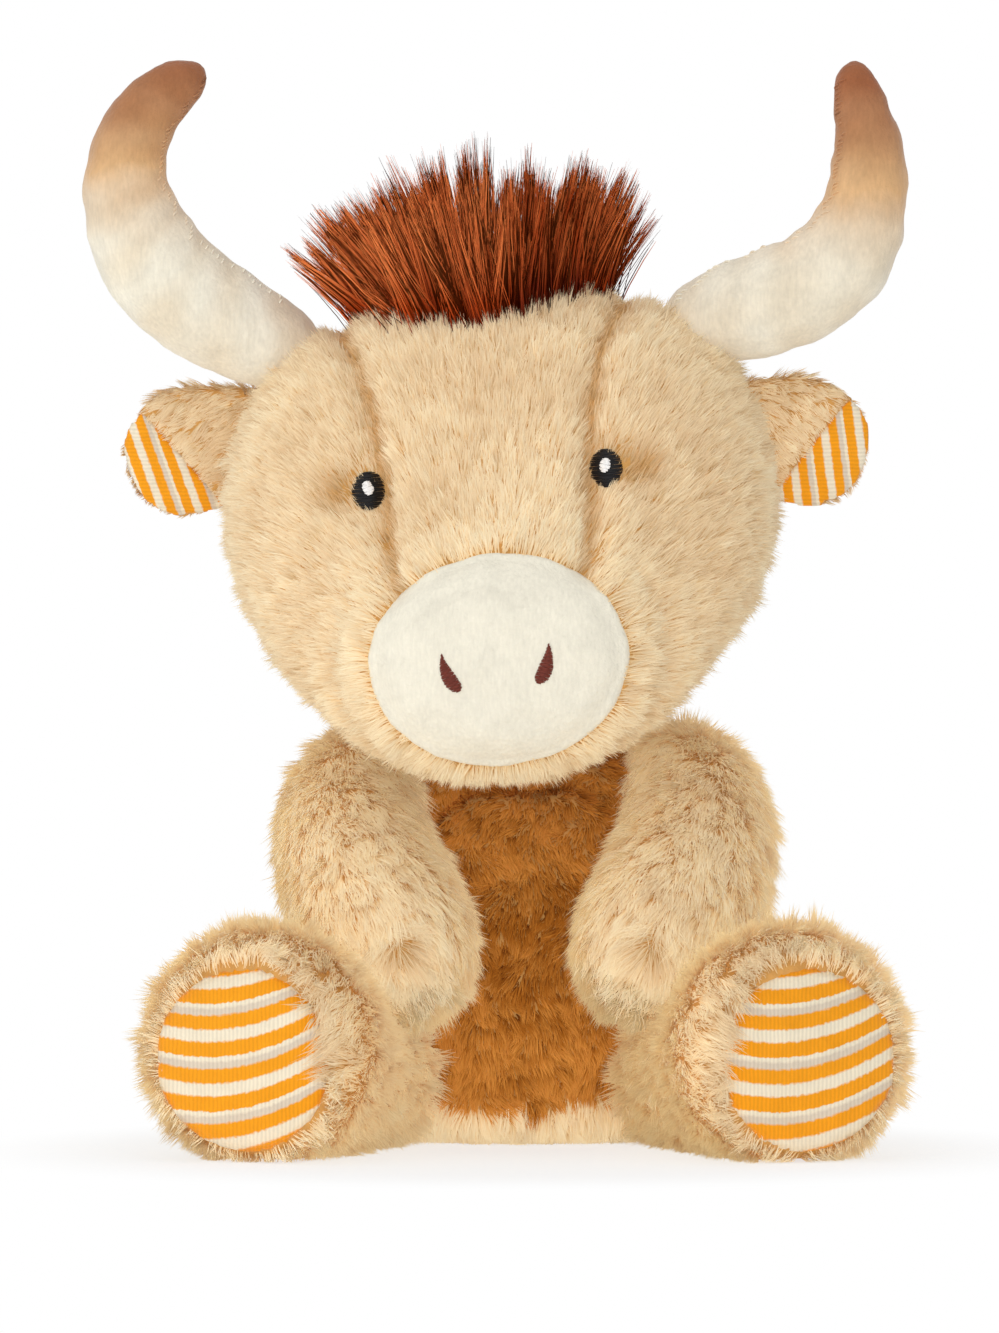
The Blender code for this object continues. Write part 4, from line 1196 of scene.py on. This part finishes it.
def ear_pieces():
    """Both ears: tan pile on the back, and a printed lining inside that stays bare of it."""
    for seed, (side, sign) in enumerate(SIDES):
        back, body = f"ear_back_{side}", f"ear_{side}"
        form = stuffed_form(f"ear_cloth_{side}", (back,), cell=1.2 * MM, rounds=5, swell=0.5 * MM)
        points, normals, _ = arrays(form)
        field = plain_field(points, sizes().pile_length * 0.62, stand=0.42, tone=0.64)
        droop = math.radians(14 if side == "left" else 22)
        field["comb"][:] = (sign * math.cos(droop), -0.2, -math.sin(droop) - 0.3)
        lining = f"ear_lining_{side}"
        edge, _ = gap_to(points, (lining,))
        field["share"][(edge < 0.8 * MM)] = 0
        field["length"] *= np.clip(edge / (6 * MM), 0.45, 1)
        clear_of(field, points, normals, ("head_side_left", "head_side_right"), near=0.6 * MM)
        cloth = tan_cloth(f"ear_cloth_{side}", form, body, (back,))
        tan_coat(f"ear_pile_{side}", form, body, 51 + seed, field, crowd=1.3, clump=0.7)
        inside = stuffed_form(f"ear_lining_cloth_{side}", (lining,), cell=0.9 * MM, rounds=4, swell=0.35 * MM)
        lean = (1.0, 0.0, 0.36 if side == "left" else 0.13)
        striped = striped_velboa(f"striped_velboa_ear_{side}", lean, shift=0.1, pitch=0.68)
        piece = put(f"ear_lining_cloth_{side}", inside, striped, body, (lining,))


def arm_pieces():
    """Both arms, with the pile combed from the shoulder to the paw."""
    for seed, (side, sign) in enumerate(SIDES):
        nodes = (f"arm_skin_{side}", f"arm_stuffing_{side}")
        form = stuffed_form(f"arm_cloth_{side}", nodes, cell=2.2 * MM, rounds=10, swell=0.8 * MM)
        points, normals, _ = arrays(form)
        field = plain_field(points, sizes().pile_length, stand=0.43, tone=0.93)
        low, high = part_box(nodes[0])
        shoulder = Vector((sign * 48 * MM, -8 * MM, high.z - 12 * MM))
        paw = Vector((sign * 29 * MM, low.y + 20 * MM, low.z + 20 * MM))
        field["comb"][:] = (paw - shoulder).normalized()
        field["comb"] += 0.55 * unit(points - np.array(shoulder)) * np.array((1, 0, 0))
        whorl = paw + Vector((sign * 5 * MM, -17 * MM, 0))  # The pile spreads from one point on the paw.
        near = bump(whorl, points, 7 * MM)
        field["comb"] += 1.6 * unit(points - np.array(whorl)) * near[:, None]
        # Painted shade: the pile is darker in the parting at the whorl.
        field["tone"] -= 0.45 * bump(whorl, points, 5 * MM)
        clear_of(field, points, normals, ("body_skin", "tummy_panel"))
        press(field, points, (f"leg_skin_{side}",))
        cloth = tan_cloth(f"arm_cloth_{side}", form, f"arm_{side}", nodes)
        manner = {"crowd": 1.35, "clump": 0.85, "mess": 0.55}
        tan_coat(f"arm_pile_{side}", form, f"arm_{side}", 61 + seed, field, **manner)


def leg_pieces():
    """Both legs, with the pile combed to the foot and the striped pad let into the sole."""
    for seed, (side, sign) in enumerate(SIDES):
        pad = f"foot_pad_{side}"
        nodes = (f"leg_skin_{side}", f"leg_stuffing_{side}")
        form = stuffed_form(f"leg_cloth_{side}", (*nodes, pad), cell=2.4 * MM, rounds=10, swell=0.8 * MM)
        points, normals, _ = arrays(form)
        sole, _ = gap_to(points, (pad,))
        rim_dip, sole_dip = 1.6 * MM, 2.2 * MM
        dip = rim_dip * np.exp(-((sole / (3 * MM)) ** 2)) * (sole > 0.5 * MM) + sole_dip * (sole <= 0.5 * MM)
        move_points(form, points - normals * dip[:, None])
        points, normals, _ = arrays(form)
        field = plain_field(points, sizes().pile_length, stand=0.45, tone=0.94)
        low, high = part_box(nodes[0])
        ankle = Vector(((low.x + high.x) / 2, high.y, 30 * MM))
        foot = Vector((middle(pad).x, low.y, 30 * MM))
        field["comb"][:] = (foot - ankle).normalized()
        field["comb"] += 0.35 * unit(points - np.array(foot + Vector((0, 25 * MM, 0))))
        # Round the pad the pile fans outward, but on the inner side it folds over the pad's edge.
        rim = np.exp(-((sole / (5 * MM)) ** 2))
        outward = unit((points - np.array(middle(pad))) * np.array((1, 0, 1)))
        inner = np.clip(-sign * outward[:, 0], 0, 1) * np.clip(outward[:, 2] + 0.9, 0, 1)
        field["stand"] += 0.10 * rim
        field["comb"] += (0.9 - 2.1 * inner)[:, None] * outward * rim[:, None]
        field["length"] *= 1 - 0.35 * rim * (1 - 2 * inner).clip(0, 1)
        # Painted shade: the pile is darker where it folds over the pad's inner edge.
        field["tone"] -= 0.45 * rim * inner
        field["share"][sole < 1.3 * MM] = 0
        clear_of(field, points, normals, ("body_skin", "base_panel", "tummy_panel"))
        press(field, points, (f"arm_skin_{side}",))
        cloth = tan_cloth(f"leg_cloth_{side}", form, f"leg_{side}", nodes)
        manner = {"crowd": 1.2, "clump": 0.85, "mess": 0.6}
        tan_coat(f"leg_pile_{side}", form, f"leg_{side}", 71 + seed, field, **manner)
        pad_form = stuffed_form(f"pad_cloth_{side}", (pad,), cell=1.2 * MM, rounds=5, swell=0.3 * MM)
        points, normals, _ = arrays(pad_form)
        centre = np.array(middle(pad))
        # The pad is stuffed to a low crown, and its outer edge wraps a little way round the foot.
        out = np.hypot((points[:, 0] - centre[0]) / (23 * MM), (points[:, 2] - centre[2]) / (24.5 * MM))
        crown = (2.4 * MM * np.clip(1 - out**2.5, 0, 1) - 0.8 * MM) * (normals[:, 1] < -0.2)
        points = points + normals * crown[:, None]
        points[:, 0] += sign * 2.6 * MM * np.clip(sign * (points[:, 0] - centre[0]) / (21 * MM), 0, 1)
        move_points(pad_form, points)
        striped = striped_velboa(
            f"striped_velboa_foot_{side}",
            lean=(-0.19, 0.15, 1.0),
            shift=0.12,
            bow=0.0105 / MM,
            centre=middle(pad).x,
        )
        piece = put(f"pad_cloth_{side}", pad_form, striped, f"leg_{side}", (pad,))


def hair_piece():
    """The tuft: locks of straight hair that rise from the crown and fan out. The left side fans
    out further, stands lower and is paler, and some of the front locks are cut short."""
    crown = made_tree("head_cloth")
    rng = np.random.default_rng(81)
    down = HEAD_TURN @ Vector((0, 0, -1))
    turned = np.array(HEAD_TURN).T
    length = sizes().hair_length
    locks, strands = 210, 56  # Real fibres are about 0.1 mm thick and far more, drawn coarser here.
    thin, thick = 0.20 * MM, 0.34 * MM
    above = 0.15  # A height over the neck that clears the crown, to cast down from.
    lines, flats, tones, faces = [], [], [], []
    for _ in range(locks):
        radius, angle = math.sqrt(rng.random()), rng.uniform(0, math.tau)
        across, deep = radius * math.cos(angle), radius * math.sin(angle)
        spread = 0.72 if across < 0 else 0.50
        lean = np.array((across * spread - 0.06, deep * 0.40 - 0.08, 1.0))
        lean = lean + rng.normal(size=3) * (0.09, 0.07, 0.03)
        reach = length * rng.uniform(0.78, 1.14) * (1 - 0.16 * across * across)
        reach *= rng.uniform(0.6, 1.0) if deep < -0.3 and rng.random() < 0.45 else 1.0
        reach *= 0.90 if across < -0.3 else 1.0
        lock_tone = rng.normal() * 0.17 - 0.30 * across
        gather = rng.uniform(0.55, 0.95)
        hub = np.array((across * 35, deep * 18 - 16 + 13 * across * across)) * MM
        wide = rng.uniform(1.3, 2.4) * MM
        for _ in range(strands):
            aside = rng.normal(size=2)
            spot = hub + aside * wide
            start = NECK + HEAD_TURN @ Vector((spot[0], spot[1], above))
            found, normal, _, _ = crown.ray_cast(start, down)
            if found is None:
                continue
            way = unit((lean + rng.normal(size=3) * 0.022) @ turned)
            drift = np.array((hub[0] - spot[0], hub[1] - spot[1], 0)) @ turned * gather
            far = reach * rng.uniform(0.86, 1.04) * (1.04 - 0.07 * np.hypot(*aside))
            base = np.array(found) - np.array(normal) * 0.5 * MM
            sag = np.array((across * 2.4, 0, -abs(across) * 1.4)) * MM + rng.normal(size=3) * 0.35 * MM
            lines.append([base + way * far * s + drift * s + sag * s * s for s in (0, 0.35, 0.72, 1.0)])
            flat = unit(np.cross(way, rng.normal(size=3)))
            flats.append(flat * rng.uniform(thin, thick) / 2)
            tones.append(0.50 + lock_tone + rng.normal() * 0.10 + 0.08 * (deep < -0.3))
            outward = unit(np.array((across * 0.8, min(deep, 0) - 0.7, 0.35)) @ turned)
            face = unit(np.cross(flat, way))
            faces.append(unit(outward * 0.75 + face * (0.3 if face @ outward > 0 else -0.3)))
    lines, flats, tones = np.array(lines), np.array(flats), np.clip(tones, 0.03, 0.97)
    taper = np.array((1.0, 0.95, 0.8, 0.28))[None, :, None]
    wide = flats[:, None, :] * taper
    verts = np.stack([lines - wide, lines + wide], 2).reshape(len(lines), 8, 3)
    across = np.stack([tones - 0.02, tones + 0.02] * 4, 1)
    along = np.tile(np.repeat((0.02, 0.35, 0.7, 0.98), 2), (len(lines), 1))
    piece_of_pile(
        "hair_tuft_locks",
        verts,
        np.stack([across, along], -1),
        np.array(faces),
        HAIR_FACETS,
        finish_once("rust_straight_hair", rust_hair),
        "head",
        ("hair_tuft",),
    )


def neck_piece():
    """The neck, which shows only where the head tilts off the torso. Its top and bottom are bare."""
    form = stuffed_form("neck_cloth", ("neck_stuffing",), cell=2.4 * MM, rounds=6, swell=0.2 * MM)
    points, normals, _ = arrays(form)
    field = plain_field(points, sizes().pile_length * 0.75, stand=0.5, tone=0.84)
    clear_of(field, points, normals, ("body_skin", "tummy_panel"), near=0.3 * MM)
    field["share"][np.abs(normals[:, 2]) > 0.75] = 0
    piece = tan_cloth("neck_cloth", form, "neck", ("neck_stuffing",))
    tan_coat("neck_pile", form, "neck", 95, field, mess=0.6)


def tail_pieces():
    """The tail, and the tuft of hair at its end."""
    form = stuffed_form("tail_cloth", ("tail",), cell=1.4 * MM, rounds=5, swell=0.3 * MM)
    points, normals, _ = arrays(form)
    field = plain_field(points, sizes().pile_length * 0.6, stand=0.45, tone=0.75)
    clear_of(field, points, normals, ("body_skin",), near=0.6 * MM)
    cloth = tan_cloth("tail_cloth", form, "tail", ("tail",))
    tan_coat("tail_pile", form, "tail", 91, field)
    core = stuffed_form("tail_tuft_core", ("tail_tuft",), cell=1.4 * MM, rounds=5, swell=-0.6 * MM)
    points, normals, _ = arrays(core)
    field = plain_field(points, 11 * MM, stand=0.28, tone=0.45)
    field["comb"][:] = (0, 0.55, -1)
    finish = finish_once("rust_straight_hair", rust_hair)
    tan_cloth("tail_tuft_core", core, "tail", ("tail_tuft",))
    lay_pile("tail_tuft_locks", core, "tail", "rust_hair", finish, 92, field, crowd=1.6)


# Studio


def studio_floor(name):
    """White paper sweep: matt, with a faint fibre, and white in the picture away from the cow.
    Near it the paper takes the cow's soft shadow."""
    finish, tree, shader = new_finish(name, rough=0.95, sheen=0.0, specular=0.1)
    place = add(tree, "ShaderNodeTexCoord")
    fibre = add(
        tree,
        "ShaderNodeTexNoise",
        {"Vector": place.outputs["Object"], "Scale": 1 / (3 * MM), "Detail": 3.0},
    )
    paper = add(
        tree,
        "ShaderNodeValToRGB",
        {"Fac": fibre.outputs["Fac"]},
        stops=[(0.3, (0.93, 0.93, 0.93)), (0.7, (0.96, 0.96, 0.96))],
    )
    tree.links.new(paper.outputs["Color"], shader.inputs["Base Color"])
    ray = add(tree, "ShaderNodeLightPath")
    off = add(
        tree,
        "ShaderNodeVectorMath",
        {0: place.outputs["Object"], 1: (0, 0.06, 0)},
        operation="ADD",
    )
    far = add(tree, "ShaderNodeVectorMath", {0: off.outputs["Vector"]}, operation="LENGTH")
    edge = add(
        tree,
        "ShaderNodeMapRange",
        {"Value": far.outputs["Value"], "From Min": 0.09, "From Max": 0.16, "To Min": 0.6},
        interpolation_type="SMOOTHSTEP",
    )
    shown = add(
        tree,
        "ShaderNodeMath",
        {0: ray.outputs["Is Camera Ray"], 1: edge.outputs["Result"]},
        operation="MULTIPLY",
    )
    white = add(tree, "ShaderNodeEmission", {"Color": (1, 1, 1, 1), "Strength": 1.0})
    mixed = add(
        tree,
        "ShaderNodeMixShader",
        {0: shown.outputs[0], 1: shader.outputs["BSDF"], 2: white.outputs["Emission"]},
    )
    sink = next(n for n in tree.nodes if n.type == "OUTPUT_MATERIAL")
    tree.links.new(mixed.outputs["Shader"], sink.inputs["Surface"])
    return finish


def lamp(name, place, size, power, shadow=True):
    """A round softbox that points at the cow. A fill lamp casts no shadow, as light from white
    walls all round casts none."""
    light = bpy.data.lights.new(name, "AREA")
    light.use_shadow = shadow
    light.shape = "DISK"
    light.size = size
    light.energy = power
    holder = bpy.data.objects.new(name, light)
    bpy.context.scene.collection.objects.link(holder)
    holder.location = place
    target = Vector((0, -0.02, 0.12))
    holder.rotation_euler = (target - Vector(place)).to_track_quat("-Z", "Y").to_euler()


def studio():
    """The paper sweep, soft light from all sides, and a camera 3 m away, a little above the cow's middle."""
    bpy.ops.mesh.primitive_circle_add(vertices=96, radius=2.5, fill_type="NGON", location=(0, 0, 0))
    floor = bpy.context.object
    floor.name = "paper_sweep"
    floor.data.materials.append(studio_floor("white_paper"))
    lamp("front_softbox", (-0.7, -2.5, 0.45), size=3.0, power=11)
    lamp("front_fill", (0.0, -2.5, 0.05), size=2.4, power=12, shadow=False)
    lamp("left_fill", (-2.2, -0.5, 0.6), size=2.0, power=12, shadow=False)
    lamp("right_fill", (2.2, -0.5, 0.6), size=2.0, power=3, shadow=False)
    lamp("top_fill", (0, -0.4, 2.0), size=2.4, power=12, shadow=False)
    lamp("back_fill", (0.3, 2.5, 0.8), size=2.4, power=7, shadow=False)
    lamp("floor_bounce", (-0.2, -1.7, -1.0), size=2.4, power=19, shadow=False)
    world = bpy.data.worlds.new("white_studio")
    bpy.context.scene.world = world
    world.use_nodes = True
    tree = world.node_tree
    tree.nodes.clear()
    ray = add(tree, "ShaderNodeLightPath")
    seen = add(
        tree,
        "ShaderNodeMath",
        {0: ray.outputs["Is Camera Ray"], 1: ray.outputs["Is Glossy Ray"]},
        operation="MAXIMUM",
    )
    through = add(
        tree,
        "ShaderNodeMath",
        {0: seen.outputs[0], 1: ray.outputs["Is Transmission Ray"]},
        operation="MAXIMUM",
    )
    level = add(tree, "ShaderNodeMapRange", {"Value": through.outputs[0], "To Min": 0.46, "To Max": 1.0})
    sky = add(tree, "ShaderNodeBackground", {"Color": (1, 1, 1, 1), "Strength": level.outputs["Result"]})
    add(tree, "ShaderNodeOutputWorld", {"Surface": sky.outputs["Background"]})
    camera_data = bpy.data.cameras.new("camera")
    camera = bpy.data.objects.new("camera", camera_data)
    bpy.context.scene.collection.objects.link(camera)
    camera.location = (-0.007, -3.0, 0.19)
    aim = Vector((-0.007, 0, 0.13))
    camera.rotation_euler = (aim - camera.location).to_track_quat("-Z", "Y").to_euler()
    camera_data.sensor_width = 36
    camera_data.lens = 293.6
    camera_data.clip_end = 20
    bpy.context.scene.camera = camera
    bpy.context.scene.view_settings.view_transform = "Standard"


class PlushOperator:
    bl_options = {"REGISTER", "UNDO"}

    @classmethod
    def poll(cls, context):
        return context.mode == "OBJECT"


class PLUSH_OT_torso(PlushOperator, bpy.types.Operator):
    """Adds the torso's cloth, its tan pile and the brown tummy pile"""

    bl_idname = "plush.torso"
    bl_label = "Torso"

    def execute(self, context):
        torso_pieces()
        return {"FINISHED"}


class PLUSH_OT_head(PlushOperator, bpy.types.Operator):
    """Adds the head's cloth and pile, parted along its seams"""

    bl_idname = "plush.head"
    bl_label = "Head"

    def execute(self, context):
        head_pieces()
        return {"FINISHED"}


class PLUSH_OT_muzzle(PlushOperator, bpy.types.Operator):
    """Adds the cream muzzle patch"""

    bl_idname = "plush.muzzle"
    bl_label = "Muzzle"

    def execute(self, context):
        muzzle_piece()
        return {"FINISHED"}


class PLUSH_OT_face_threads(PlushOperator, bpy.types.Operator):
    """Adds the satin-stitched eyes, glints and nostrils, after the head and muzzle"""

    bl_idname = "plush.face_threads"
    bl_label = "Face stitching"

    def execute(self, context):
        face_threads()
        return {"FINISHED"}


class PLUSH_OT_horns(PlushOperator, bpy.types.Operator):
    """Adds both stuffed horns"""

    bl_idname = "plush.horns"
    bl_label = "Horns"

    def execute(self, context):
        horn_pieces()
        return {"FINISHED"}


class PLUSH_OT_ears(PlushOperator, bpy.types.Operator):
    """Adds both ears with their striped linings"""

    bl_idname = "plush.ears"
    bl_label = "Ears"

    def execute(self, context):
        ear_pieces()
        return {"FINISHED"}


class PLUSH_OT_hair(PlushOperator, bpy.types.Operator):
    """Adds the hair tuft, after the head"""

    bl_idname = "plush.hair"
    bl_label = "Hair tuft"

    def execute(self, context):
        hair_piece()
        return {"FINISHED"}


class PLUSH_OT_arms(PlushOperator, bpy.types.Operator):
    """Adds both arms"""

    bl_idname = "plush.arms"
    bl_label = "Arms"

    def execute(self, context):
        arm_pieces()
        return {"FINISHED"}


class PLUSH_OT_legs(PlushOperator, bpy.types.Operator):
    """Adds both legs with their striped foot pads"""

    bl_idname = "plush.legs"
    bl_label = "Legs"

    def execute(self, context):
        leg_pieces()
        return {"FINISHED"}


class PLUSH_OT_neck(PlushOperator, bpy.types.Operator):
    """Adds the cloth over the neck's ball of filling"""

    bl_idname = "plush.neck"
    bl_label = "Neck"

    def execute(self, context):
        neck_piece()
        return {"FINISHED"}


class PLUSH_OT_tail(PlushOperator, bpy.types.Operator):
    """Adds the tail and its tuft"""

    bl_idname = "plush.tail"
    bl_label = "Tail"

    def execute(self, context):
        tail_pieces()
        return {"FINISHED"}


class PLUSH_OT_studio(PlushOperator, bpy.types.Operator):
    """Adds the paper sweep, the lamps and the camera"""

    bl_idname = "plush.studio"
    bl_label = "Studio"

    def execute(self, context):
        studio()
        return {"FINISHED"}


OPERATORS = (
    PLUSH_OT_studio,
    PLUSH_OT_torso,
    PLUSH_OT_head,
    PLUSH_OT_muzzle,
    PLUSH_OT_face_threads,
    PLUSH_OT_horns,
    PLUSH_OT_ears,
    PLUSH_OT_hair,
    PLUSH_OT_arms,
    PLUSH_OT_legs,
    PLUSH_OT_neck,
    PLUSH_OT_tail,
)


class PLUSH_PT_dressing(bpy.types.Panel):
    """Sizes, colours and pieces of the plush cow"""

    bl_idname = "PLUSH_PT_dressing"
    bl_label = "Plush Cow"
    bl_space_type = "VIEW_3D"
    bl_region_type = "UI"
    bl_category = "Plush"

    def draw(self, context):
        for group in (context.scene.plush_sizes, context.scene.plush_colours):
            box = self.layout.box()
            for name in group.__annotations__:
                box.prop(group, name)
        column = self.layout.column(align=True)
        for kind in OPERATORS:
            column.operator(kind.bl_idname)


CLASSES = (PlushSizes, PlushColours, *OPERATORS, PLUSH_PT_dressing)


def register():
    for kind in CLASSES:
        bpy.utils.register_class(kind)
    bpy.types.Scene.plush_sizes = PointerProperty(type=PlushSizes)
    bpy.types.Scene.plush_colours = PointerProperty(type=PlushColours)


def unregister():
    del bpy.types.Scene.plush_colours
    del bpy.types.Scene.plush_sizes
    for kind in reversed(CLASSES):
        bpy.utils.unregister_class(kind)


def main():
    register()
    for kind in OPERATORS:
        group, name = kind.bl_idname.split(".")
        getattr(getattr(bpy.ops, group), name)()


if __name__ == "__main__":
    main()
